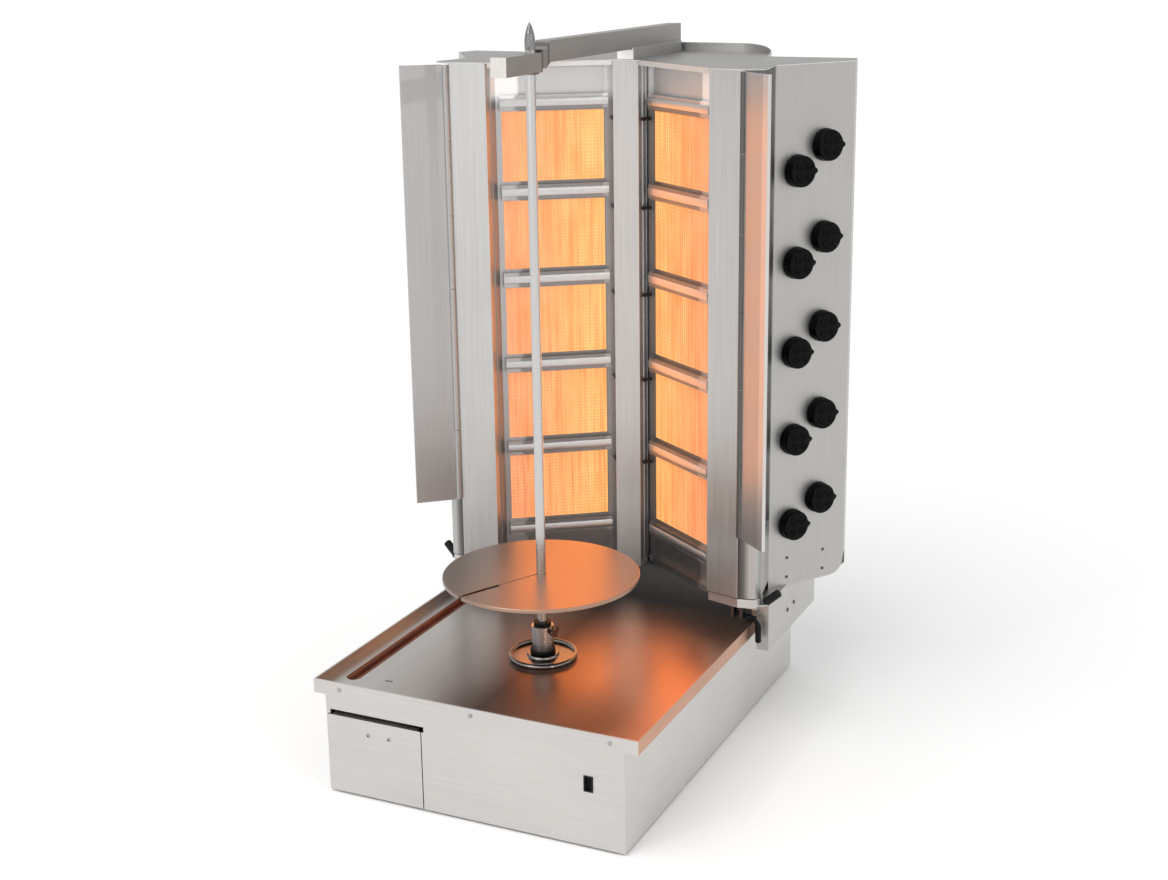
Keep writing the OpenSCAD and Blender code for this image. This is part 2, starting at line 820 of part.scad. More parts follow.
module left_housing() {
    color(steel) mirror([1, 0, 0]) side_skin();
}

module rear_cover() {
    rim = 15;
    z1 = tower_top + rim;
    side_x = rear_half + rear_r;
    fall = [for (a = [0:15:90]) [rear_half + rear_r * sin(a), tower_top + rim * cos(a)]];
    color(steel) {
        difference() {
            span([-rear_half, rear_y - sheet, tower_floor], [rear_half, rear_y, z1]);
            translate([inlet_x, rear_y, inlet_z]) rotate([90, 0, 0])
                cylinder(r = inlet_r, h = 4 * sheet, center = true);
        }
        both() {
            difference() {
                translate([rear_half, rear_y - rear_r, tower_floor]) rotate_extrude(angle = 90)
                    translate([rear_r - sheet, 0]) square([sheet, z1 - tower_floor]);
                translate([0, rear_y + 1, 0]) rotate([90, 0, 0]) linear_extrude(rear_r + 2)
                    polygon(concat(fall, [[side_x + 1, tower_top], [side_x + 1, z1 + 1],
                        [rear_half, z1 + 1]]));
            }
            wall([side_x, box_rear_b.y + 0.2], [side_x, rear_y - rear_r], tower_floor,
                tower_top);
            span([side_x - tiny, box_rear_b.y + 0.2, tower_floor],
                [box_rear_b.x + 8, box_rear_b.y + 0.2 + sheet, skin_top]);
        }
    }
}

module top_cover() {
    hem = 9;
    hem_t = 1.2;
    edge_y = post_y - 1;
    outline = concat([[post_half, edge_y], strip_in + [0, -1], strip_out + [2, -1],
        bulge[1], bulge[2], panel_a, panel_b, box_rear_a, box_rear_b],
        rear_arc(rear_r - sheet - 0.5));
    color(steel) {
        translate([0, 0, skin_top]) linear_extrude(tower_top - skin_top)
            polygon(with_mirror(outline));
        both() wall([post_half + 1, edge_y], strip_in + [-3, 2], tower_top - hem, tower_top,
            hem_t);
    }
}

// Manifold between the two columns of valves, a feed pipe from each valve to its burner, and
// the supply pipe from the inlet, with a fitting at every corner
module gas_pipework() {
    supply = [inlet_x, panel_b.y + 36, inlet_z];
    foot = panel_point(knob_u_mid, manifold_depth, inlet_z);
    nozzle_z = plenum_d + mixer_len;
    run_y = [for (clear = [19, 68]) bank_point(1, nozzle_z, 0).y + clear];
    module fitting(p) {
        translate([p.x, p.y, p.z - pipe_r - 2]) cylinder(r = pipe_r + 2.5, h = 2 * pipe_r + 4);
    }
    module feed(side, u, z, run) {
        start = bank_point(side, nozzle_z, z);
        elbow = bank_point(side, nozzle_z + nozzle_len - pipe_r, z);
        depth = (run - panel_point(u, 0, z).y) / cos(panel_ang);
        corner = panel_point(u, depth, z);
        turn = [elbow.x, run, z];
        rod_between(start, bank_point(side, nozzle_z + nozzle_len, z), pipe_r + 2);
        rod_between(elbow, turn, pipe_r);
        fitting(turn);
        rod_between(turn, corner, pipe_r);
        fitting(corner);
        rod_between(corner, panel_point(u, valve_d, z), pipe_r);
    }
    color(brass) {
        rod_between(foot - [0, 0, 8], [foot.x, foot.y, knob_z_top + 30], manifold_r);
        rod_between(foot, supply, pipe_r);
        fitting(supply);
        rod_between(supply, [inlet_x, rear_y - 8, inlet_z], pipe_r);
        for (i = [0:burner_rows - 1]) {
            feed(1, knob_u_front, knob_z(i, 1), run_y[0]);
            feed(-1, knob_u_rear, knob_z(i, 0), run_y[1]);
        }
    }
}

module gas_inlet() {
    hex_r = 15;
    color(brass) translate([inlet_x, rear_y, inlet_z]) rotate([-90, 0, 0]) {
        translate([0, 0, -8]) cylinder(r = inlet_r, h = inlet_len + 8);
        cylinder(r = hex_r, h = 4, $fn = 6);
    }
}

module gas_valves() {
    color(brass) for (i = [0:burner_rows - 1], c = [0, 1])
        on_panel(c == 0 ? knob_u_rear : knob_u_front,
            knob_z(i, c)) difference() {
            union() {
                translate([0, 0, -valve_d]) cylinder(r = 11, h = valve_d - sheet - 2);
                translate([0, 0, -manifold_depth]) rotate([0, c == 0 ? -90 : 90, 0])
                    cylinder(r = 5, h = (knob_u_rear - knob_u_front) / 2 - manifold_r);
            }
            translate([0, 0, -valve_d + 14]) cylinder(r = stem_r + run_fit, h = valve_d);
        }
}

module panel_screws() {
    color(dark_steel) for (p = panel_screw_at) on_panel(p[0], p[1]) {
        cylinder(r = 2.6, h = screw_head);
        translate([0, 0, -4]) cylinder(r = 1.5, h = 4 + tiny);
    }
}

// Hinge pins of the wings with the lugs that carry them

module hinge_pins() {
    lug_h = 30;
    color(dark_steel) both() translate([hinge_at.x, hinge_at.y, wing_z0]) {
        bar(pin_r, 2, tower_top - 4 - wing_z0);
        for (k = hinge_lugs) {
            bar(5, k, k + lug_h);
            span([-3.6, 0, k], [-1, 5, k + lug_h]);
        }
    }
}

// Wing flap beside the burners, with a folded hem on its free edge
module wing() {
    z1 = tower_top - 3;
    hem_u = wing_w - 9;
    hem_d = 5;
    out = -1;
    translate([hinge_at.x, hinge_at.y, 0]) rotate(wing_ang) difference() {
        union() {
            span([6, out, wing_z0], [wing_w - 2, out + sheet, z1]);
            for (u = [hem_u, wing_w - 2 - sheet])
                span([u, out, wing_z0], [u + sheet, hem_d, z1]);
            span([hem_u, hem_d - sheet, wing_z0], [wing_w - 2, hem_d, z1]);
            for (k = barrels) {
                span([3.5, out, wing_z0 + k[0]], [7, out + sheet, wing_z0 + k[1]]);
                bar(4.6, wing_z0 + k[0], wing_z0 + k[1]);
            }
        }
        bar(pin_r + run_fit, wing_z0 - 1, tower_top);
    }
}

module right_wing() {
    color(steel) wing();
}

module left_wing() {
    color(steel) mirror([1, 0, 0]) wing();
}

// Guide on the top cover in which the arm's bar slides
module arm_channel() {
    t = 2;
    out_x = bar_half + body_gap + t;
    y1 = rear_y - 14;
    top = bar_z0 - body_gap;
    color(steel) {
        both() span([out_x - t, post_y, top - tiny], [out_x, y1, bar_z0 + 3]);
        difference() {
            span([-out_x, post_y, tower_top], [out_x, y1, top]);
            span([t - out_x, post_y + t, tower_top + t], [out_x - t, y1 + 1, top - t]);
        }
    }
}

// --- Arm -----------------------------------------------------------------------------

module top_arm() {
    neck = 14;
    neck_top = arm_z0 + arm_box + 4;
    color(dark_steel) {
        difference() {
            span([-arm_half, arm_front_y, arm_z0], [arm_half, arm_box_y1, arm_z0 + arm_box]);
            translate([0, spit_y, 0]) bar(11, arm_z0 - 1, arm_z0 + arm_box + 1);
        }
        rotate([90, 0, 90]) linear_extrude(2 * bar_half, center = true)
            polygon([[arm_box_y1 - tiny, arm_z0 + 5], [arm_box_y1 + neck, arm_z0 + 5],
                [arm_box_y1 + 2 * neck, bar_z0], [bar_end_y, bar_z0], [bar_end_y, bar_z1],
                [arm_box_y1 + 2 * neck, bar_z1], [arm_box_y1 + neck, neck_top],
                [arm_box_y1 - tiny, neck_top]]);
    }
}

module arm_bush() {
    color(brass) translate([0, spit_y, 0]) difference() {
        union() {
            bar(11, arm_z0, arm_z0 + arm_box);
            bar(13, arm_z0 - 2, arm_z0);
        }
        bar(spit_r + run_fit, arm_z0 - 3, arm_z0 + arm_box + 1);
    }
}

// --- Knobs ---------------------------------------------------------------------------

// Gas knob with its stem; the nub points along the panel towards the rear
module knob(index) {
    row = floor((index - 1) / 2);
    col = (index - 1) % 2;
    r = knob_dia / 2;
    color(black) on_panel(col == 0 ? knob_u_rear : knob_u_front,
        knob_z(row, col)) {
        translate([0, 0, knob_lift]) cylinder(r = r, h = knob_flange_h);
        translate([0, 0, knob_lift + knob_flange_h - tiny])
            cylinder(r = r - 5, h = knob_h - knob_flange_h);
        span([r - 9, -4, knob_lift + 1], [r + 4, 4, knob_lift + knob_h - 3]);
        translate([0, 0, -valve_d + 15]) cylinder(r = stem_r, h = valve_d - 15 + knob_lift + tiny);
    }
}

base_shell();
front_panel();
bottom_plate();
rubber_feet();
drip_tray();
drawer_box();
drawer_front();
drawer_runners();
switch_bezel();
rocker();
gear_motor();
gearbox();
pinion();
drive_gear();
drive_shaft();
bearing_housing();
shaft_seal();
splash_ring();
cable_gland();
base_screws();
spit_socket();
socket_cap();
wing_screw();
spit_rod();
meat_disc();
disc_collar();
carriage();
skid_pads();
side_grips();
clamp_lever();
centre_post();
front_strips();
burner_frames();
burner_tiles();
burner_plenums();
electrodes();
control_housing();
left_housing();
rear_cover();
top_cover();
gas_pipework();
gas_inlet();
gas_valves();
panel_screws();
hinge_pins();
right_wing();
left_wing();
arm_channel();
top_arm();
arm_bush();
knob(1);  // knob_1
knob(2);  // knob_2
knob(3);  // knob_3
knob(4);  // knob_4
knob(5);  // knob_5
knob(6);  // knob_6
knob(7);  // knob_7
knob(8);  // knob_8
knob(9);  // knob_9
knob(10);  // knob_10
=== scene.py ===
"""Vertical gas gyros broiler: finishes, detailed pieces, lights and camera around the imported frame."""
import json
import math

import bmesh
import bpy
from mathutils import Matrix, Vector

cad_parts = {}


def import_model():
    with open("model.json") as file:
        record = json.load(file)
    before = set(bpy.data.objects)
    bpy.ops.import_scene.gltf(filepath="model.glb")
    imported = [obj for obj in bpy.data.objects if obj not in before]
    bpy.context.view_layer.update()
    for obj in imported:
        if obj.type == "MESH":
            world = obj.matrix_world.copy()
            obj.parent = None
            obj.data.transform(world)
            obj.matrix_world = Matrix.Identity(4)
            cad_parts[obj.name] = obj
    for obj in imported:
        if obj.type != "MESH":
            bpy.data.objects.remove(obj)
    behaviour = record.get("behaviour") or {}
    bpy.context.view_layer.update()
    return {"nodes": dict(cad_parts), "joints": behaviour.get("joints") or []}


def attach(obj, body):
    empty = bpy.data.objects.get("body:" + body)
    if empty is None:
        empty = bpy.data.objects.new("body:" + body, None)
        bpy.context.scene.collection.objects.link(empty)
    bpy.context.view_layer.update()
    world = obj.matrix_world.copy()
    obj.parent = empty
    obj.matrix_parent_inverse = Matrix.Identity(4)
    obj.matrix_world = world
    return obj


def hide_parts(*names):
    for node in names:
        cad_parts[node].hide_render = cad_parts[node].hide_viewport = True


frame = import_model()

MM = 0.001
SPIT_Y = -164.0
BURNER_ROWS, BURNER_PITCH, FIRST_TILE = 5, 147, 295
BURNER_Z = [FIRST_TILE + BURNER_PITCH * row for row in range(BURNER_ROWS)]
TILE_U = (28.0, 199.0)
TILE_H = 115.0
BANK_A = (22.7, 204.7)
BANK_B = (193.6, 83.0)
HINGE = (256.7, 34.7)
TOWER_Z0 = 216.0
PANEL_FOOT = (272.3, 133.7)
PANEL_ALONG = (0.5547, 0.8321, 0)
PANEL_OUT = (0.8321, -0.5547, 0)
TIP_Z = (1.112, 1.118)
FULL_TONE = 1.0
WING_TURN = math.radians(41.2)

scene = bpy.context.scene


def place(origin, x_axis, z_axis):
    """A matrix with its origin in mm, its X along x_axis and its Z along z_axis."""
    z = Vector(z_axis).normalized()
    x = Vector(x_axis)
    x = (x - z * x.dot(z)).normalized()
    y = z.cross(x)
    m = Matrix((x, y, z)).transposed().to_4x4()
    m.translation = Vector(origin) * MM
    return m


# ---------------------------------------------------------------- materials


class Finish:
    """A Principled material built up from object-space noise."""

    def __init__(self, name, roughness=0.5, metallic=0.0, color=(0.5, 0.5, 0.5), **sockets):
        self.mat = bpy.data.materials.new(name)
        self.mat.use_nodes = True
        self.tree = self.mat.node_tree
        self.bsdf = self.tree.nodes["Principled BSDF"]
        self.bsdf.inputs["Roughness"].default_value = roughness
        self.bsdf.inputs["Metallic"].default_value = metallic
        self.bsdf.inputs["Base Color"].default_value = (*color, 1)
        for key, value in sockets.items():
            self.bsdf.inputs[key.replace("_", " ")].default_value = value

    def node(self, kind, **settings):
        made = self.tree.nodes.new(kind)
        for key, value in settings.items():
            if key in made.inputs:
                made.inputs[key].default_value = value
            else:
                setattr(made, key, value)
        return made

    def link(self, out, into):
        self.tree.links.new(out, into)
        return self

    def coords(self, stretch=(1, 1, 1), turn=(0, 0, 0)):
        coord = self.node("ShaderNodeTexCoord")
        mapping = self.node("ShaderNodeMapping", Scale=stretch, Rotation=turn)
        self.link(coord.outputs["Object"], mapping.inputs["Vector"])
        return mapping.outputs["Vector"]

    def noise(self, stretch, scale=1.0, detail=3.0, turn=(0, 0, 0)):
        tex = self.node("ShaderNodeTexNoise", Scale=scale, Detail=detail)
        self.link(self.coords(stretch, turn), tex.inputs["Vector"])
        return tex.outputs[0]

    def ramp(self, fac, *stops):
        made = self.node("ShaderNodeValToRGB")
        made.color_ramp.elements[0].position = stops[0][0]
        made.color_ramp.elements[0].color = (*stops[0][1], 1)
        made.color_ramp.elements[1].position = stops[-1][0]
        made.color_ramp.elements[1].color = (*stops[-1][1], 1)
        for at, rgb in stops[1:-1]:
            made.color_ramp.elements.new(at).color = (*rgb, 1)
        self.link(fac, made.inputs["Fac"])
        return made.outputs["Color"]

    def spread(self, fac, low, high, start=0.3, end=0.7):
        made = self.node("ShaderNodeMapRange")
        for socket, value in zip(("From Min", "From Max", "To Min", "To Max"),
                                 (start, end, low, high)):
            made.inputs[socket].default_value = value
        self.link(fac, made.inputs["Value"])
        return made.outputs["Result"]

    def mix(self, fac, a, b, mode="MIX"):
        made = self.node("ShaderNodeMix", data_type="RGBA", blend_type=mode)
        if isinstance(fac, float):
            made.inputs[0].default_value = fac
        else:
            self.link(fac, made.inputs[0])
        self.link(a, made.inputs[6])
        if isinstance(b, float):
            made.inputs[7].default_value = (b, b, b, 1)
        else:
            self.link(b, made.inputs[7])
        return made.outputs[2]

    def bump(self, height, strength, distance):
        made = self.node("ShaderNodeBump", Strength=strength, Distance=distance)
        self.link(height, made.inputs["Height"])
        self.link(made.outputs["Normal"], self.bsdf.inputs["Normal"])
        return self

    def place_on(self, axis, mirrored=False):
        """The object-space coordinate along axis, or its distance from the middle plane."""
        split = self.node("ShaderNodeSeparateXYZ")
        self.link(self.node("ShaderNodeTexCoord").outputs["Object"], split.inputs["Vector"])
        if not mirrored:
            return split.outputs[axis]
        side = self.node("ShaderNodeMath", operation="ABSOLUTE")
        self.link(split.outputs[axis], side.inputs[0])
        return side.outputs["Value"]

    def tones(self, value, span, *stops):
        """A grey tone that follows value; stops are (place in m, tone)."""
        reach = span[1] - span[0]
        greys = [((at - span[0]) / reach, (tone, tone, tone)) for at, tone in stops]
        return self.ramp(self.spread(value, 0.0, 1.0, *span), *greys)

    def color(self, out):
        return self.link(out, self.bsdf.inputs["Base Color"])

    def rough(self, out):
        return self.link(out, self.bsdf.inputs["Roughness"])


def scaled(rgb, k):
    return tuple(min(1.0, c * k) for c in rgb)


def brushed_base(name, rgb, grain, roughness=0.4, metallic=0.92, depth=0.05, mottle=0.05):
    """Brushed sheet: grain is the stretch of the streaks, which run along its small component."""
    f = Finish(name, metallic=metallic)
    streaks = f.noise(grain, 1.0, 4.0)
    cloud = f.noise((7, 7, 7), 1.0, 3.0)
    streak_rgb = f.ramp(streaks, (0.32, scaled(rgb, 1 - mottle)), (0.68, scaled(rgb, 1 + mottle)))
    cloud_rgb = f.ramp(cloud, (0.3, (0.95, 0.95, 0.95)), (0.7, (1.0, 1.0, 1.0)))
    f.rough(f.spread(streaks, roughness - 0.05, roughness + 0.06))
    f.bump(streaks, depth, 0.0002)
    return f, f.mix(1.0, streak_rgb, cloud_rgb, "MULTIPLY")


def brushed(name, rgb, grain, roughness=0.4, **settings):
    f, base = brushed_base(name, rgb, grain, roughness, **settings)
    return f.color(base).mat


def banded(name, rgb, grain, axis, span, *stops, mirrored=False, **settings):
    """Brushed sheet whose tone changes along one axis; stops are (place in m, tone)."""
    f, base = brushed_base(name, rgb, grain, **settings)
    tones = f.tones(f.place_on(axis, mirrored), span, *stops)
    return f.color(f.mix(1.0, base, tones, "MULTIPLY")).mat


def wing_finish():
    """Brushed wing whose outer hem is drawn about 1.3 times brighter: a painted highlight."""
    f, base = brushed_base("steel_wing", (0.50, 0.495, 0.49), V_GRAIN, 0.36)
    out = f.node("ShaderNodeMath", operation="MULTIPLY")
    out.inputs[1].default_value = math.cos(WING_TURN)
    f.link(f.place_on("X", mirrored=True), out.inputs[0])
    reach = f.node("ShaderNodeMath", operation="MULTIPLY_ADD")
    reach.inputs[1].default_value = -math.sin(WING_TURN)
    f.link(f.place_on("Y"), reach.inputs[0])
    f.link(out.outputs["Value"], reach.inputs[2])
    start = (HINGE[0] * math.cos(WING_TURN) - HINGE[1] * math.sin(WING_TURN)) * MM
    # painted highlight: the last few mm of the wing, its hem, are drawn brighter
    hem = f.spread(reach.outputs["Value"], 0.0, 1.0, start + 0.0570, start + 0.0610)
    tone = f.ramp(hem, (0.0, (1.0, 1.0, 1.0)), (1.0, (1.30, 1.27, 1.25)))
    return f.color(f.mix(1.0, base, tone, "MULTIPLY")).mat


def panel_finish():
    """Brushed side box with painted shade in the cleft beside the wing and, lower down, at the foot of
    its bulge; only in front of y = 0.136 m.
    """
    f, base = brushed_base("steel_panel", (0.490, 0.480, 0.465), V_GRAIN, 0.42)
    out = f.place_on("X", mirrored=True)
    # painted shade: the cleft above z = 0.34 m and the foot of the bulge below it
    cleft = f.tones(out, (0.26, 0.30), (0.2715, 0.32), (0.2730, 1.0))
    foot = f.tones(out, (0.25, 0.30), (0.2540, 0.16), (0.2620, 0.34), (0.2710, 1.0))
    above = f.spread(f.place_on("Z"), 0.0, 1.0, 0.337, 0.343)
    behind = f.spread(f.place_on("Y"), 0.0, 1.0, 0.136, 0.137)
    tone = f.mix(behind, f.mix(above, foot, cleft), FULL_TONE)
    return f.color(f.mix(1.0, base, tone, "MULTIPLY")).mat


def frame_finish():
    """Burner frame with painted light and shade: a painted reflection of the tiles' glow on the flange
    by the post, painted shade in the gap beside it, over the burners' height and below them; brighter at
    the tiles' sides, the outer edge and above the burners."""
    f, base = brushed_base("steel_frame", (0.50, 0.50, 0.50), (60, 60, 320), 0.42)
    # painted reflection of the glow on the flange by the post (3.2), painted shade in the gap beside it
    # (0.45)
    beside = f.tones(f.place_on("X", mirrored=True), (0.02, 0.20), (0.0242, 3.2), (0.0250, 0.45),
                     (0.0290, 0.45), (0.0310, 1.5), (0.0420, 1.5), (0.0450, 1.0), (0.1600, 1.0),
                     (0.1650, 1.8))
    # painted shade: darker below the burners and over their height, brighter above them
    level = f.tones(f.place_on("Z"), (0.20, 1.10), (0.255, 0.40), (0.300, 0.50), (1.010, 0.55),
                    (1.030, 1.25))
    return f.color(f.mix(1.0, base, f.mix(1.0, beside, level, "MULTIPLY"), "MULTIPLY")).mat


def carriage_finish():
    """Brushed carriage with painted shade on the lugs for the lever, which sit under its skirt."""
    f, base = brushed_base("steel_carriage", (0.560, 0.548, 0.530), H_GRAIN, 0.40)
    # painted shade: the lugs, beyond x = 0.262 m and below z = 0.21 m, drawn at 0.16
    lugs = f.tones(f.place_on("X", mirrored=True), (0.25, 0.28), (0.262, 0.16), (0.264, 1.0))
    above = f.spread(f.place_on("Z"), 0.0, 1.0, 0.2095, 0.2105)
    return f.color(f.mix(1.0, base, f.mix(above, lugs, FULL_TONE), "MULTIPLY")).mat


def moulded(name, rgb, roughness=0.35, grain=900, depth=0.12, wear=1.6, **sockets):
    """Moulded plastic or rubber with a fine pebbled surface and faint handling marks."""
    f = Finish(name, **sockets)
    pebble = f.noise((1, 1, 1), grain, 2.0)
    smudge = f.noise((1, 1, 1), 38, 3.0)
    f.color(f.ramp(smudge, (0.35, rgb), (0.75, scaled(rgb, wear))))
    f.rough(f.spread(smudge, roughness - 0.06, roughness + 0.1))
    f.bump(pebble, depth, 0.0002)
    return f.mat


def cast_metal(name, rgb, roughness, metallic, depth=0.2):
    f = Finish(name, metallic=metallic)
    grain = f.noise((1, 1, 1), 700, 3.0)
    cloud = f.noise((1, 1, 1), 26, 3.0)
    f.color(f.ramp(cloud, (0.3, scaled(rgb, 0.86)), (0.7, scaled(rgb, 1.08))))
    f.rough(f.spread(cloud, roughness - 0.05, roughness + 0.08))
    f.bump(grain, depth, 0.0002)
    return f.mat


def turned(name, rgb, roughness, rings=1500, depth=0.1, point=1.0):
    """Turned steel: fine rings round the upright axis, of tone point above the arm."""
    f = Finish(name, metallic=1.0)
    rings_out = f.noise((12, 12, rings), 1.0, 2.0)
    tip = f.tones(f.place_on("Z"), TIP_Z, (TIP_Z[0], 1.0), (TIP_Z[1], point))
    base = f.ramp(rings_out, (0.35, scaled(rgb, 0.93)), (0.65, scaled(rgb, 1.05)))
    f.color(f.mix(1.0, base, tip, "MULTIPLY"))
    f.rough(f.spread(rings_out, roughness - 0.04, roughness + 0.05))
    f.bump(rings_out, depth, 0.0001)
    return f.mat


def disc_finish():
    """Turned plate with rings round the spit and a painted reflection of the burners' glow, grey-brown
    at the left to copper at the right.
    """
    f = Finish("disc_turned", metallic=0.95)
    coord = f.node("ShaderNodeTexCoord")
    mapping = f.node("ShaderNodeMapping", Location=(0, -SPIT_Y * MM, 0))
    f.link(coord.outputs["Object"], mapping.inputs["Vector"])
    rings = f.node("ShaderNodeTexWave", wave_type="RINGS", rings_direction="Z", Scale=160,
                   Distortion=0.6, Detail=2.0)
    f.link(mapping.outputs["Vector"], rings.inputs["Vector"])
    # painted reflection of the burners' glow across the plate
    disc_glow_reflection = f.spread(f.place_on("X"), 0.0, 1.0, -0.11, 0.12)
    base = f.ramp(disc_glow_reflection, (0.0, (0.27, 0.225, 0.205)), (0.45, (0.40, 0.27, 0.20)),
                  (1.0, (0.42, 0.27, 0.20)))
    fine = f.ramp(rings.outputs["Fac"], (0.2, (0.94, 0.94, 0.94)), (0.8, (1.0, 1.0, 1.0)))
    f.color(f.mix(1.0, base, fine, "MULTIPLY"))
    f.rough(f.spread(rings.outputs["Fac"], 0.30, 0.38, 0, 1))
    f.bump(rings.outputs["Fac"], 0.04, 0.0001)
    return f.mat


def tray_finish():
    """Satin pan that has been wiped: grain from front to back and soft smears, with a painted reflection
    of the burners across it and painted shade towards the back under the tower.
    """
    f = Finish("tray_satin", metallic=0.95)
    streaks = f.noise((420, 9, 60), 1.0, 4.0)
    smears = f.noise((6, 3, 6), 1.0, 4.0)
    # painted reflection: grey at the left, dark brown in the middle, copper at the right
    glow_reflection_across = f.spread(f.place_on("X"), 0.0, 1.0, -0.20, 0.12)
    base = f.ramp(glow_reflection_across, (0.0, (0.54, 0.525, 0.51)), (0.35, (0.40, 0.35, 0.33)),
                  (0.62, (0.17, 0.10, 0.075)), (1.0, (0.64, 0.36, 0.25)))
    # painted shade: darker towards the back, down to 0.06 at y = 0.13 m, under the tower
    shade_under_tower = f.tones(f.place_on("Y"), (0.0, 0.13), (0.0, 1.0), (0.13, 0.06))
    film = f.ramp(smears, (0.35, (0.90, 0.88, 0.86)), (0.65, (1.0, 1.0, 1.0)))
    grain = f.ramp(streaks, (0.3, (0.93, 0.93, 0.93)), (0.7, (1.0, 1.0, 1.0)))
    f.color(f.mix(1.0, f.mix(1.0, f.mix(1.0, base, film, "MULTIPLY"), grain, "MULTIPLY"), shade_under_tower,
                  "MULTIPLY"))
    f.rough(f.spread(smears, 0.27, 0.37))
    f.bump(streaks, 0.04, 0.0002)
    return f.mat


def glow_finish():
    """Ceramic burner face at work: orange, yellower beside the post, streaked, cell by cell."""
    f = Finish("ceramic_glow", roughness=0.8, color=(0.35, 0.12, 0.04))
    across = f.spread(f.place_on("X", mirrored=True), 0.0, 1.0, 0.03, 0.19)
    base = f.ramp(across, (0.0, (0.97, 0.57, 0.19)), (0.35, (0.93, 0.49, 0.185)),
                  (0.75, (0.87, 0.40, 0.19)), (1.0, (0.84, 0.36, 0.20)))
    streaks = f.noise((150, 150, 6), 1.0, 4.0)
    streak_rgb = f.ramp(streaks, (0.34, (0.80, 0.66, 0.52)), (0.50, (0.97, 0.93, 0.88)),
                        (0.66, (1.04, 1.06, 1.02)))
    patches = f.noise((24, 24, 14), 1.0, 2.0)
    patch_rgb = f.ramp(patches, (0.35, (1.0, 0.88, 0.82)), (0.65, (1.02, 1.06, 1.06)))
    cells = f.node("ShaderNodeTexVoronoi", Scale=260)
    f.link(f.coords(), cells.inputs["Vector"])
    cell_rgb = f.ramp(cells.outputs["Distance"], (0.15, (0.93, 0.87, 0.80)), (0.42, (1, 1, 1)))
    warm = f.mix(1.0, f.mix(1.0, base, streak_rgb, "MULTIPLY"), patch_rgb, "MULTIPLY")
    hot = f.mix(1.0, warm, cell_rgb, "MULTIPLY")
    f.link(hot, f.bsdf.inputs["Emission Color"])
    f.bsdf.inputs["Emission Strength"].default_value = 1.02
    f.bump(cells.outputs["Distance"], 0.4, 0.0005)
    return f.mat


# Dark glossy sheet for the trough's floor and lower wall: painted shade where the trough lies in deep
# shadow.
def trough_shade_film():
    f = Finish("trough_shade_film", color=(0.12, 0.03, 0.015), Coat_Weight=0.6, Coat_Roughness=0.15)
    shade_blotches = f.noise((1, 1, 1), 30, 4.0)
    f.color(f.ramp(shade_blotches, (0.3, (0.10, 0.024, 0.012)), (0.7, (0.20, 0.062, 0.035))))
    f.rough(f.spread(shade_blotches, 0.25, 0.5))
    f.bump(shade_blotches, 0.3, 0.0006)
    return f.mat


H_GRAIN = (9, 9, 700)
V_GRAIN = (520, 520, 7)

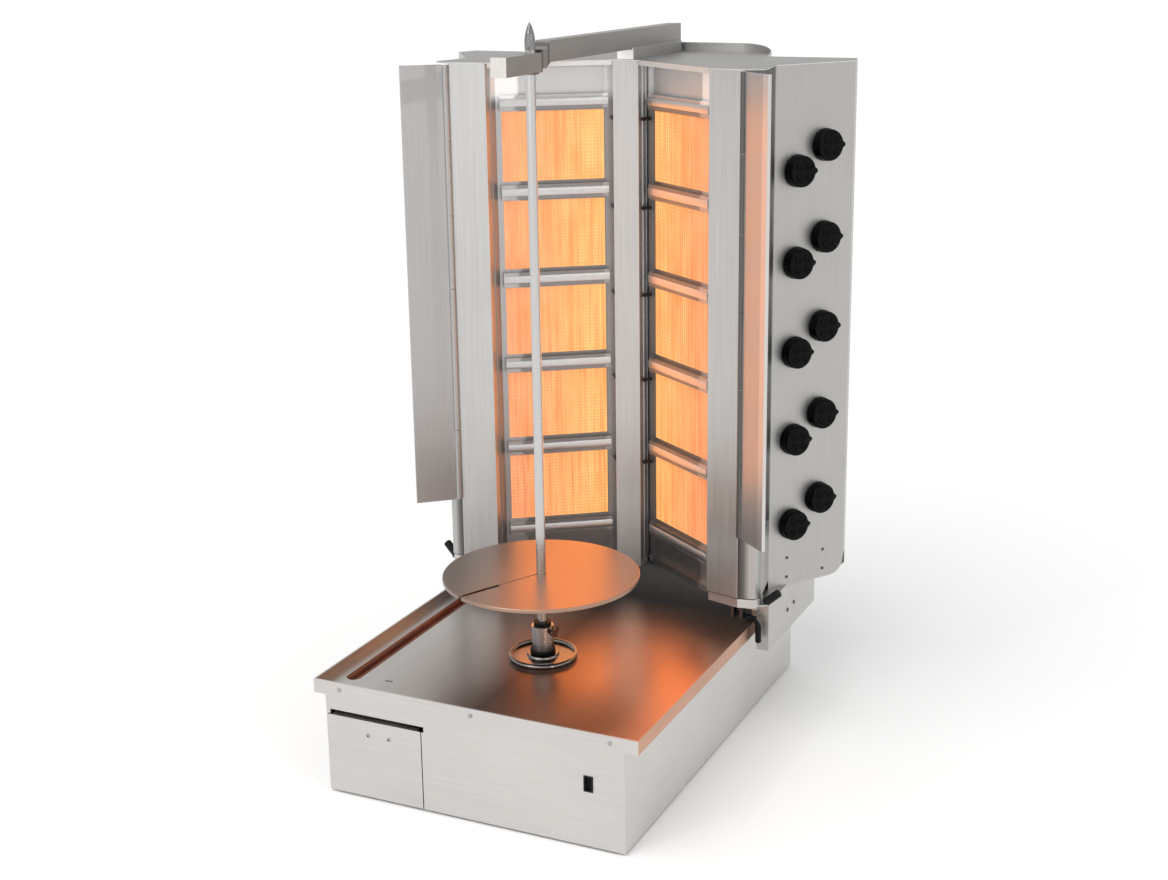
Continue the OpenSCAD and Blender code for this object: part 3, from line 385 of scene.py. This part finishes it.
M = {
    "front": brushed("steel_front", (0.620, 0.600, 0.582), H_GRAIN, 0.40),
    "side": brushed("steel_side", (0.690, 0.676, 0.656), H_GRAIN, 0.42),
    "panel": panel_finish(),
    "wing": wing_finish(),
    "far_wing": brushed("steel_far_wing", (0.47, 0.465, 0.46), V_GRAIN, 0.36),
    "strip": brushed("steel_strip", (0.545, 0.538, 0.527), V_GRAIN, 0.36, mottle=0.07),
    "post": brushed("steel_post", (0.535, 0.528, 0.516), V_GRAIN, 0.38, mottle=0.07),
    "frame": frame_finish(),
    "rail": brushed("steel_rail", (0.610, 0.610, 0.610), (60, 60, 320), 0.34),
    "carriage": carriage_finish(),
    "lip": brushed("steel_lip", (0.60, 0.59, 0.575), H_GRAIN, 0.40),
    # painted highlight: the top cover's front lip, below z = 1.0793 m, drawn 2.3 times brighter than the
    # dark top
    "top": banded("steel_top", (0.335, 0.330, 0.322), (14, 300, 40), "Z", (1.070, 1.080),
                  (1.0793, 2.3), (1.0797, 1.0), roughness=0.42),
    # painted light: the channel's front end, before y = 0.175 m, drawn twice as bright so the open end
    # does not read dark
    "channel": banded("steel_channel", (0.42, 0.415, 0.405), (300, 8, 120), "Y", (0.17, 0.19),
                      (0.1749, 2.0), (0.1753, 1.0)),
    "rear": brushed("steel_rear", (0.560, 0.550, 0.535), V_GRAIN, 0.42),
    "inner": brushed("steel_inner", (0.42, 0.42, 0.42), (60, 60, 60), 0.5),
    # dark base tone standing in for a dark reflection; dark bands at the collar's ends are painted
    # shade; the front end is drawn 2.35 times brighter
    "arm": banded("steel_arm", (0.30, 0.287, 0.272), (300, 8, 120), "Y", (-0.265, -0.115),
                  (-0.2627, 2.35), (-0.2623, 1.0), (-0.1535, 1.0), (-0.1520, 0.45),
                  (-0.1465, 0.45), (-0.1450, 0.9), (-0.1320, 0.9), (-0.1305, 0.5),
                  (-0.1250, 0.5), (-0.1235, 1.0), metallic=0.85),
    "tray": tray_finish(),
    "disc": disc_finish(),
    "turned": turned("steel_turned", (0.57, 0.565, 0.56), 0.26, point=0.45),
    "bright": turned("steel_bright", (0.31, 0.29, 0.28), 0.22, 900),
    "screw": cast_metal("steel_screw", (0.42, 0.42, 0.42), 0.32, 1.0),
    "dark_screw": cast_metal("steel_dark_screw", (0.085, 0.085, 0.085), 0.4, 0.8),
    # painted shade: the right-hand knuckles (x > 0) are drawn at 0.3 of the left-hand ones, lit and
    # shaded copies of one steel
    "hinge": banded("steel_hinge", (0.45, 0.44, 0.43), (60, 60, 320), "X", (-0.1, 0.1),
                    (-0.01, 1.0), (0.01, 0.3)),
    "thumb": cast_metal("steel_thumb", (0.21, 0.115, 0.085), 0.42, 0.9),
    "brass": cast_metal("brass", (0.68, 0.47, 0.20), 0.34, 1.0),
    "paint": cast_metal("motor_enamel", (0.10, 0.12, 0.14), 0.42, 0.0),
    "porcelain": moulded("porcelain_soot", (0.012, 0.010, 0.009), 0.3, 300, 0.1,
                         Specular_IOR_Level=0.3),
    "rubber": moulded("rubber", (0.009, 0.009, 0.0095), 0.62, 1200, 0.3,
                      Specular_IOR_Level=0.25),
    "plastic": moulded("plastic_black", (0.005, 0.005, 0.0055), 0.36, 1100, 0.12,
                       Specular_IOR_Level=0.18),
    "knob": moulded("knob_gloss", (0.0012, 0.0012, 0.0015), 0.30, 500, 0.03,
                    Specular_IOR_Level=0.02, Coat_Weight=0.15, Coat_Roughness=0.12),
    "lever": moulded("lever_black", (0.004, 0.004, 0.0045), 0.34, 700, 0.15,
                     Specular_IOR_Level=0.15),
    "wire": cast_metal("screen_wire", (0.80, 0.46, 0.27), 0.5, 0.8),
    "glow": glow_finish(),
    "film": trough_shade_film(),
}

CAD_FINISH = {
    "front": ["front_panel", "drawer_front"],
    "side": ["base_shell"],
    "panel": ["control_housing", "left_housing"],
    "wing": ["right_wing"],
    "far_wing": ["left_wing"],
    "strip": ["front_strips"],
    "post": ["centre_post"],
    "frame": ["burner_frames"],
    "carriage": ["carriage"],
    "top": ["top_cover"],
    "channel": ["arm_channel"],
    "rear": ["rear_cover"],
    "inner": ["bottom_plate", "drawer_box", "drawer_runners", "burner_plenums"],
    "arm": ["top_arm", "arm_bush"],
    "tray": ["drip_tray"],
    "disc": ["meat_disc"],
    "turned": ["spit_rod", "disc_collar", "spit_socket", "drive_shaft", "pinion"],
    "bright": ["splash_ring"],
    "screw": ["base_screws"],
    "dark_screw": ["panel_screws"],
    "thumb": ["wing_screw"],
    "brass": ["drive_gear", "gas_pipework", "gas_inlet", "gas_valves"],
    "paint": ["gear_motor", "gearbox", "bearing_housing"],
    "porcelain": ["electrodes"],
    "rubber": ["rubber_feet", "shaft_seal", "skid_pads"],
    "plastic": ["switch_bezel", "cable_gland", "side_grips", "socket_cap"],
    "knob": ["rocker"] + [f"knob_{i}" for i in range(1, 11)],
    "lever": ["clamp_lever"],
    "glow": ["burner_tiles"],
}
NO_BEVEL = {"drive_gear", "pinion", "gas_pipework", "gas_valves", "splash_ring", "arm_bush",
            "shaft_seal", "rubber_feet", "knob"}


def soften(obj, width):
    """Closes the split seams and rounds the sheet edges; shading follows the large faces."""
    with bpy.context.temp_override(object=obj, active_object=obj, selected_objects=[obj]):
        bpy.ops.mesh.customdata_custom_splitnormals_clear()
    obj.data.polygons.foreach_set("use_smooth", [True] * len(obj.data.polygons))
    weld = obj.modifiers.new("weld", "WELD")
    weld.merge_threshold = 1e-5
    flat = obj.modifiers.new("planes", "DECIMATE")
    flat.decimate_type = "DISSOLVE"
    flat.angle_limit = math.radians(0.4)
    if width:
        bevel = obj.modifiers.new("edge", "BEVEL")
        bevel.width = width * MM
        bevel.segments = 2
        bevel.limit_method = "ANGLE"
        bevel.angle_limit = math.radians(35)
    obj.modifiers.new("shade", "WEIGHTED_NORMAL").keep_sharp = False


for key, names in CAD_FINISH.items():
    for node_name in names:
        node = frame["nodes"][node_name]
        for slot in node.material_slots:
            slot.material = M[key]
        soften(node, 0.0 if node_name in NO_BEVEL else 0.4)


# ---------------------------------------------------------------- mesh helpers


def piece(name, bm, material, body, slot_name, *stands_for, sharp=32):
    """Makes the mesh an object that rides on body, and stands for the CAD nodes named."""
    bmesh.ops.recalc_face_normals(bm, faces=bm.faces)
    mesh = bpy.data.meshes.new(name)
    bm.to_mesh(mesh)
    bm.free()
    mesh.polygons.foreach_set("use_smooth", [True] * len(mesh.polygons))
    mesh.set_sharp_from_angle(angle=math.radians(sharp))
    mesh.materials.append(material)
    obj = bpy.data.objects.new(name, mesh)
    scene.collection.objects.link(obj)
    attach(obj, body)
    if stands_for:
        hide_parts(*stands_for)
    return obj


def skin(bm, rings):
    """Faces between rings of points; a ring of one point closes to it."""
    for a, b in zip(rings, rings[1:]):
        for i in range(max(len(a), len(b))):
            j = (i + 1) % max(len(a), len(b))
            if len(a) == 1:
                bm.faces.new((a[0], b[i], b[j]))
            elif len(b) == 1:
                bm.faces.new((a[i], a[j], b[0]))
            else:
                bm.faces.new((a[i], a[j], b[j], b[i]))


def lathe(bm, profile, at, segs=48, lift=None):
    """Turns (radius, height) points in mm round the Z axis of at; lift may change a height."""
    rings = []
    for r, h in profile:
        if r < 1e-6:
            rings.append([bm.verts.new(at @ Vector((0, 0, h * MM)))])
            continue
        ring = []
        for i in range(segs):
            t = 2 * math.pi * i / segs
            x, y = r * math.cos(t), r * math.sin(t)
            ring.append(bm.verts.new(at @ (Vector((x, y, lift(x, y, h) if lift else h)) * MM)))
        rings.append(ring)
    skin(bm, rings)


def rounded_path(points, bend, steps=6):
    """The corners of a polyline in mm turned into arcs of radius bend."""
    pts = [Vector(p) for p in points]
    out = [pts[0]]
    for a, b, c in zip(pts, pts[1:], pts[2:]):
        u, v = (a - b).normalized(), (c - b).normalized()
        half = u.angle(v) / 2
        cut = bend / math.tan(half)
        centre = b + (u + v).normalized() * (bend / math.sin(half))
        start, end = b + u * cut - centre, b + v * cut - centre
        for k in range(steps + 1):
            out.append(centre + start.slerp(end, k / steps))
    out.append(pts[-1])
    return out


def sweep(bm, path, radius, segs=14):
    """A rod along path in mm; radius is a number or one per point. The ends are domed."""
    n = len(path)
    radii = [radius] * n if isinstance(radius, (int, float)) else radius
    tangents = [(path[min(i + 1, n - 1)] - path[max(i - 1, 0)]).normalized() for i in range(n)]
    side = tangents[0].orthogonal().normalized()
    rings = []

    def ring(centre, t, r):
        up = t.cross(side)
        return [bm.verts.new((centre + (side * math.cos(a) + up * math.sin(a)) * r) * MM)
                for a in (2 * math.pi * k / segs for k in range(segs))]

    for i in range(n):
        t = tangents[i]
        side = (side - t * side.dot(t)).normalized()
        if i == 0:
            rings.append([bm.verts.new((path[0]) * MM)])
            rings.append(ring(path[0] + t * radii[0] * 0.12, t, radii[0] * 0.8))
            rings.append(ring(path[0] + t * radii[0] * 0.35, t, radii[0]))
        elif i == n - 1:
            rings.append(ring(path[i] - t * radii[i] * 0.35, t, radii[i]))
            rings.append(ring(path[i] - t * radii[i] * 0.12, t, radii[i] * 0.8))
            rings.append([bm.verts.new(path[i] * MM)])
        else:
            rings.append(ring(path[i], t, radii[i]))
    skin(bm, rings)


def raised(bm, outline, at, levels):
    """An outline in mm raised through (height, inset) levels of at, closed at both ends."""
    centre = sum((Vector(p) for p in outline), Vector((0, 0))) / len(outline)
    loops = []
    for z, inset in levels:
        made = []
        for p in outline:
            arm = Vector(p) - centre
            q = centre + arm * max(0.0, 1 - inset / max(arm.length, 1e-6))
            made.append(bm.verts.new(at @ (Vector((q.x, q.y, z)) * MM)))
        loops.append(made)
    bm.faces.new(loops[0][::-1])
    skin(bm, loops)
    bm.faces.new(loops[-1])


def arc(cx, cy, r, a0, a1, steps):
    """Points on an arc, in degrees, ends included."""
    return [(cx + r * math.cos(math.radians(a0 + (a1 - a0) * k / steps)),
             cy + r * math.sin(math.radians(a0 + (a1 - a0) * k / steps)))
            for k in range(steps + 1)]


def joint(name):
    return next(j for j in frame["joints"] if j["name"] == name)


# ---------------------------------------------------------------- gas knobs

KNOB_R = 26.0
KNOB_TOP = 18.4


def dimples(x, y, z):
    """Height of the knob's face, pressed in by four round finger hollows."""
    hollow, reach, depth = 12.6, 7.4, 4.2
    centre = hollow * math.sqrt(0.5)
    gap = math.hypot(abs(x) - centre, abs(y) - centre)
    pressed = gap < reach and z > KNOB_TOP - 0.1
    return z - depth * (1 - (gap / reach) ** 2) if pressed else z


def knob(index):
    """Round gas knob: a domed face with four hollows, and a short beak that points the setting."""
    turn = joint(f"knob_{index}_turn")
    at = place([c / MM for c in turn["pos_m"]], PANEL_ALONG, turn["axis"])
    bm = bmesh.new()
    skirt = [(0, 1.0), (24.6, 1.0), (25.8, 1.8), (KNOB_R, 3.0), (KNOB_R, 4.6), (25.5, 5.4),
             (25.3, 6.4), (25.1, 14.5), (24.7, 16.2), (23.8, 17.6), (22.6, KNOB_TOP)]
    radii = (21.5, 20, 18.5, 17, 15.5, 14, 12.5, 11, 9.5, 8, 6, 4, 2, 0)
    crown = [(r, KNOB_TOP + 1.2 * (1 - (r / 22.0) ** 2)) for r in radii]
    lathe(bm, skirt + crown, at, 96, lift=dimples)
    beak = [(19.0, -6.2), (24.4, -5.2), (27.0, -3.2), (28.9, -0.9), (28.9, 0.9), (27.0, 3.2),
            (24.4, 5.2), (19.0, 6.2)]
    raised(bm, beak, at, ((2.4, 0.0), (16.2, 0.0), (17.6, 0.4), (18.3, 1.4)))
    lathe(bm, [(0, -6), (4, -6), (4, 1.4), (0, 1.4)], at, 20)
    piece(f"gas_knob_{index}", bm, M["knob"], f"knob_{index}", "knob_black", f"knob_{index}",
          sharp=50)


for number in range(1, 11):
    knob(number)


# ---------------------------------------------------------------- burner faces

def bank_frame(side):
    """Matrix of a burner bank: X along it from the post, Z out of it towards the spit."""
    a = Vector((side * BANK_A[0], BANK_A[1], 0))
    b = Vector((side * BANK_B[0], BANK_B[1], 0))
    along = (b - a).normalized()
    out = Vector((along.y, -along.x, 0)) * side
    return place(a, along, out), along, out


def screen_wires(side):
    """Wire guard over each tile: crossed flat wires in the plane of the frame."""
    at, along, out = bank_frame(side)
    bm = bmesh.new()
    base = at.translation / MM
    for z in BURNER_Z:
        corner = base + along * TILE_U[0] + Vector((0, 0, z))
        width, step, thick = TILE_U[1] - TILE_U[0], 5.7, 0.42

        def rod(p, q, lift):
            t = (q - p).normalized()
            across = t.cross(out) * thick / 2
            depth = out * thick / 2
            mid = out * (lift - 0.45)
            ends = [[bm.verts.new((e + mid + across * s + depth * d) * MM)
                     for s, d in ((1, 1), (-1, 1), (-1, -1), (1, -1))] for e in (p, q)]
            skin(bm, ends)

        for k in range(1, int(width / step) + 1):
            foot = corner + along * k * step
            rod(foot, foot + Vector((0, 0, TILE_H)), 0.12)
        for k in range(1, int(TILE_H / step) + 1):
            left = corner + Vector((0, 0, k * step))
            rod(left, left + along * width, -0.12)
    return bm


def cross_rails(side):
    """Bright faces on the frame's rails: between the tiles, above them and below them."""
    at, along, out = bank_frame(side)
    bm = bmesh.new()
    gap = BURNER_Z[1] - BURNER_Z[0] - TILE_H
    foot, reach, rise = TILE_U[0] - 5.5, TILE_U[1] + 3.5, 12.5
    inner, outer = 8.8, 10.4
    section = [(inner, 0), (inner, rise), (outer - 0.6, rise), (outer, rise - 1.2), (outer, 1.2),
               (outer - 0.6, 0)]
    for z in [BURNER_Z[0] - gap] + [z + TILE_H for z in BURNER_Z]:
        ends = []
        for u in (foot, reach):
            base = at.translation / MM + along * u + Vector((0, 0, z + 8.8))
            ends.append([bm.verts.new((base + out * d + Vector((0, 0, h))) * MM)
                         for d, h in section])
        bm.faces.new(ends[0])
        skin(bm, ends)
        bm.faces.new(ends[1][::-1])
    return bm


for side_name, side_sign in (("right", 1), ("left", -1)):
    piece(f"burner_screen_{side_name}", screen_wires(side_sign), M["wire"], "tower",
          "burner_steel")
    piece(f"burner_rails_{side_name}", cross_rails(side_sign), M["rail"], "tower",
          "burner_steel")


# ---------------------------------------------------------------- hub and spit

def wing_screw():
    """Thumb screw: threaded shank, round boss and two leaf ears."""
    at = place((0, SPIT_Y, 212), (0, 0, 1), (1, 0, 0))
    bm = bmesh.new()
    shank = [(0, 7.7), (2.6, 7.7)]
    for k in range(8):
        shank += [(3.0, 8.4 + k * 1.2), (2.6, 9.0 + k * 1.2)]
    shank += [(2.9, 18.2), (4.8, 18.5), (5.2, 19.6), (5.0, 23.6), (4.0, 25.0), (2.2, 25.5),
              (0, 25.5)]
    lathe(bm, shank, at, 24)
    for s in (-1, 1):
        ear = [(0, 2.5 * s), (-2.5, 6 * s)]
        ear += [(x, y * s) for x, y in arc(4.6, 8.2, 4.8, 210, -60, 14)] + [(4.5, 2.6 * s)]
        raised(bm, ear, at, ((20.6, 0.7), (21.0, 0.0), (23.0, 0.0), (23.4, 0.7)))
    piece("thumb_screw", bm, M["thumb"], "wing_screw", "screw_steel", "wing_screw")


wing_screw()


# ---------------------------------------------------------------- grips, lever, feet, fittings

def side_grips():
    """Ribbed push grips on their shanks beside the carriage."""
    bm = bmesh.new()
    for s in (-1, 1):
        turn = Matrix.Rotation(math.radians(13), 4, "Z") @ Matrix.Rotation(math.radians(50), 4, "Y")
        x_axis, z_axis = turn @ Vector((1, 0, 0)), turn @ Vector((0, 0, 1))
        x_axis.x *= s
        z_axis.x *= s
        at = place((s * 281, 72, 212), x_axis, z_axis)
        profile = [(0, 9.2), (5.8, 9.2), (6.8, 10.0), (6.8, 11.6)]
        for k in range(6):
            z = 12.5 + k * 3.4
            profile += [(6.6, z), (7.0, z + 0.7), (7.0, z + 2.0), (6.6, z + 2.7)]
        profile += [(6.9, 34.5), (6.9, 37.5), (6.2, 39.6), (4.6, 40.7), (2.2, 41.0), (0, 41.0)]
        lathe(bm, profile, at, 32)
    piece("push_grips", bm, M["plastic"], "tower", "plastic_black", "side_grips")


def clamp_lever():
    """Bent rod with its cam and a thicker hand end."""
    x, y, z, rod, hand = 280, 65, 198, 3.5, 5.0
    cam_z = 191.4
    bm = bmesh.new()
    bent = rounded_path([(232, y, z), (x, y, z), (x, y, 150)], 8, 8)[:-1]
    path = bent + [Vector((x, y, h)) for h in (181.5, 180, 178.5, 153, 150)]
    sweep(bm, path, [rod] * (len(bent) + 1) + [4.2, hand, hand, hand], 20)
    cam = place((262, y, cam_z), (0, 0, 1), (1, 0, 0))
    lathe(bm, [(0, 0.0), (6.4, 0.0), (7.0, 0.6), (7.0, 6.4), (6.4, 7.0), (0, 7.0)], cam, 36)
    piece("clamp_handle", bm, M["lever"], "clamp_lever", "lever_black", "clamp_lever")


def cross_screw(bm, at, r, rise):
    """Domed cross-slot screw head."""
    lathe(bm, [(0, 0), (r, 0), (r, rise * 0.4), (r * 0.86, rise * 0.8), (r * 0.5, rise), (0, rise)],
          at, 24)
    for turn in (0, 90):
        slot = at @ Matrix.Rotation(math.radians(turn + 20), 4, "Z")
        bar = [(-r * 0.6, -0.35), (r * 0.6, -0.35), (r * 0.6, 0.35), (-r * 0.6, 0.35)]
        raised(bm, bar, slot, ((rise * 0.5, 0.0), (rise + 0.03, 0.0)))


def sheet_screws():
    """Screws of the drawer front and of the carriage's brackets."""
    bm = bmesh.new()
    for x in (-177, -141):
        cross_screw(bm, place((x, -407.0, 106), (1, 0, 0), (0, -1, 0)), 3.3, 1.02)
    piece("drawer_screws", bm, M["dark_screw"], "drawer", "screw_steel")
    bm = bmesh.new()
    for s in (-1, 1):
        for y, z in ((178, 168), (211, 170)):
            cross_screw(bm, place((s * 292, y, z), (0, 1, 0), (s, 0, 0)), 3.6, 1.6)
    piece("bracket_screws", bm, M["dark_screw"], "tower", "screw_steel")


def feet():
    bm = bmesh.new()
    for x in (-205, 205):
        for y in (-362, 280):
            at = place((x, y, 0), (1, 0, 0), (0, 0, 1))
            lathe(bm, [(0, 0.4), (9.5, 0.4), (10.2, 0.0), (12.4, 0.0), (13.2, 0.5), (13.7, 1.6),
                       (13.4, 3.4), (12.6, 4.5), (0, 4.5)], at, 36)
    piece("foot_pads", bm, M["rubber"], "base", "rubber_black", "rubber_feet")


def trough_film():
    """Dark glossy sheet on the floor and lower wall of the trough: painted shade for its deep shadow."""
    bm = bmesh.new()
    x, w, y0, y1, floor, top = -234, 11.7, -361.7, 264.7, 156.15, 169.6
    outline = arc(x, y0 + w, w, 180, 360, 16) + [(x + w, y1), (x - w, y1)]
    drain = arc(x, -332, 8.2, 0, 360, 20)[:-1]
    low = [bm.verts.new(Vector((*p, floor)) * MM) for p in outline]
    high = [bm.verts.new(Vector((*p, top)) * MM) for p in outline]
    skin(bm, [low, high])
    hole = [bm.verts.new(Vector((*p, floor)) * MM) for p in drain]
    edges = []
    for ring in (low, hole):
        for a, b in zip(ring, ring[1:] + ring[:1]):
            edges.append(bm.edges.get((a, b)) or bm.edges.new((a, b)))
    bmesh.ops.triangle_fill(bm, use_beauty=True, edges=edges)
    film = piece("trough_film", bm, M["film"], "base", "tray_steel")
    solid = film.modifiers.new("thick", "SOLIDIFY")
    solid.thickness = 0.12 * MM
    solid.offset = 0


def hinge_knuckles():
    """Rolled knuckles of the wing hinges, end to end with chamfered rims, for the CAD pins."""
    low, high, count = 339.5, 1076.5, 6
    pitch = (high - low) / count
    bm = bmesh.new()
    for s in (-1, 1):
        at = place((s * HINGE[0], HINGE[1], low), (1, 0, 0), (0, 0, 1))
        for k in range(count):
            z = k * pitch
            lathe(bm, [(0, z + 0.3), (5.0, z + 0.3), (5.5, z + 0.9), (5.5, z + pitch - 0.9),
                       (5.0, z + pitch - 0.3), (0, z + pitch - 0.3)], at, 20)
    piece("hinge_knuckles", bm, M["hinge"], "tower", "screw_steel", "hinge_pins")


def carriage_lip():
    """Folded lip over the slit that the CAD leaves under the strips and the side boxes."""
    low, high, thick = 216.5, 231.0, 1.2
    bm = bmesh.new()
    for s in (-1, 1):
        line = [(196, 54.5), (252.2, 40.0), (253.6, 41.2), (278.2, 47.0), (283.8, 60.5),
                (281.0, 82.0)]
        front = [Vector((s * x, y, 0)) for x, y in line]
        rings = []
        for a in front:
            back = a + Vector((-0.5 * s, thick, 0))
            rings.append([bm.verts.new(Vector((p.x, p.y, z)) * MM)
                          for p, z in ((a, low), (a, high), (back, high), (back, low))])
        skin(bm, rings)
        bm.faces.new(rings[0])
        bm.faces.new(rings[-1][::-1])
    piece("carriage_lip", bm, M["lip"], "tower", "stainless_body")


def box_corners():
    """Wrapped plates over the lower rear corners that the CAD leaves open in the side boxes."""
    bend, floor, depth = 28.0, TOWER_Z0, 60.0
    start, end = 130.2, 158.2
    centre = (start, floor + bend)
    right = bmesh.new()
    front = place((*PANEL_FOOT, 0), PANEL_ALONG, PANEL_OUT)
    curve = arc(*centre, bend, -90, 0, 10)
    raised(right, curve + arc(*centre, bend - 1, 0, -90, 10), front, ((-59.4, 0), (-0.6, 0)))
    wall = [(171.3, floor + 0.3), (171.3, floor + bend)] + curve[::-1]
    raised(right, wall, front, ((-depth, 0), (1 - depth, 0)))
    shelf = [(end - 1, 0.8), (end + 0.4, 0.8), (188.8, 32.8), (171.2, 59.2), (end - 1, 59.2)]
    level = place((*PANEL_FOOT, floor + bend), PANEL_ALONG, (0, 0, 1))
    raised(right, shelf, level, ((0, 0), (1, 0)))
    both = right.verts[:] + right.edges[:] + right.faces[:]
    copy = bmesh.ops.duplicate(right, geom=both)["geom"]
    for vert in (v for v in copy if isinstance(v, bmesh.types.BMVert)):
        vert.co.x = -vert.co.x
    piece("box_corners", right, M["side"], "tower", "stainless_body")


side_grips()
hinge_knuckles()
box_corners()
carriage_lip()
clamp_lever()
sheet_screws()
feet()
trough_film()


# ---------------------------------------------------------------- stage, lights, camera

def floor():
    bm = bmesh.new()
    reach = 60
    bmesh.ops.create_grid(bm, x_segments=8, y_segments=8, size=reach)
    mesh = bpy.data.meshes.new("floor")
    bm.to_mesh(mesh)
    bm.free()
    obj = bpy.data.objects.new("floor", mesh)
    obj.location = (0, 0, -0.0005)
    scene.collection.objects.link(obj)
    f = Finish("floor_pale", roughness=0.9, color=(0.93, 0.93, 0.93), Specular_IOR_Level=0.1)
    cloud = f.noise((1, 1, 1), 0.6, 2.0)
    f.color(f.ramp(cloud, (0.3, (0.925, 0.925, 0.925)), (0.7, (0.935, 0.935, 0.935))))
    mesh.materials.append(f.mat)


floor()


def world():
    scene.world = bpy.data.worlds.new("studio")
    scene.world.use_nodes = True
    shade = scene.world.node_tree.nodes["Background"]
    shade.inputs["Color"].default_value = (1.0, 0.995, 0.99, 1)
    shade.inputs["Strength"].default_value = 0.84


world()


def lamp(name, kind, energy, location, aim, color=(1, 1, 1), **settings):
    data = bpy.data.lights.new(name, kind)
    data.energy = energy
    data.color = color
    for key, value in settings.items():
        setattr(data, key, value)
    obj = bpy.data.objects.new(name, data)
    obj.location = location
    obj.rotation_mode = "QUATERNION"
    obj.rotation_quaternion = (Vector(aim) - Vector(location)).to_track_quat("-Z", "Y")
    scene.collection.objects.link(obj)
    return obj


lamp("key_sun", "SUN", 1.05, (-1.2, -3, 5), (0, 0, 0), (1, 0.995, 0.985), angle=math.radians(50))
lamp("front_box", "AREA", 9, (-0.6, -4.2, 1.3), (0, 0, 0.5), shape="RECTANGLE", size=3.0,
     size_y=1.6)
lamp("spark", "AREA", 5, (-0.9, -2.6, 2.3), (0.3, 0.2, 0.7), shape="DISK", size=0.10)
lamp("side_spark", "AREA", 6, (2.9, -2.1, 1.7), (0.3, 0.2, 0.7), shape="DISK", size=0.06)
TILE_MIDDLE = Vector((0, 0, 0.646))
MIDDLE_ALONG = sum(TILE_U) / 2 * MM
LAMP_PROUD = 0.014
for side_sign in (1, -1):
    at, along, out = bank_frame(side_sign)
    middle = at.translation + along * MIDDLE_ALONG + TILE_MIDDLE + out * LAMP_PROUD
    glow = lamp(f"bank_glow_{'right' if side_sign > 0 else 'left'}", "AREA", 0.5, middle,
                middle + out, (1.0, 0.33, 0.09), shape="RECTANGLE", size=0.17, size_y=0.70)
    glow.visible_camera = False


def camera():
    data = bpy.data.cameras.new("view")
    obj = bpy.data.objects.new("view", data)
    scene.collection.objects.link(obj)
    a, e, roll = math.radians(24.79), math.radians(15.22), math.radians(-0.64)
    back = Vector((math.sin(a) * math.cos(e), -math.cos(a) * math.cos(e), math.sin(e)))
    right = (-back).cross(Vector((0, 0, 1))).normalized()
    up = right.cross(-back)
    x = right * math.cos(roll) + up * math.sin(roll)
    y = up * math.cos(roll) - right * math.sin(roll)
    obj.matrix_world = Matrix.LocRotScale(
        Vector((1.158, -2.428, 1.278)), Matrix((x, y, back)).transposed().to_quaternion(), None)
    data.sensor_width = 36
    data.lens = 53.145
    data.shift_x = -0.0175
    data.shift_y = -0.0321
    data.clip_start, data.clip_end = 0.02, 300
    scene.camera = obj


camera()
scene.view_settings.view_transform = "Standard"
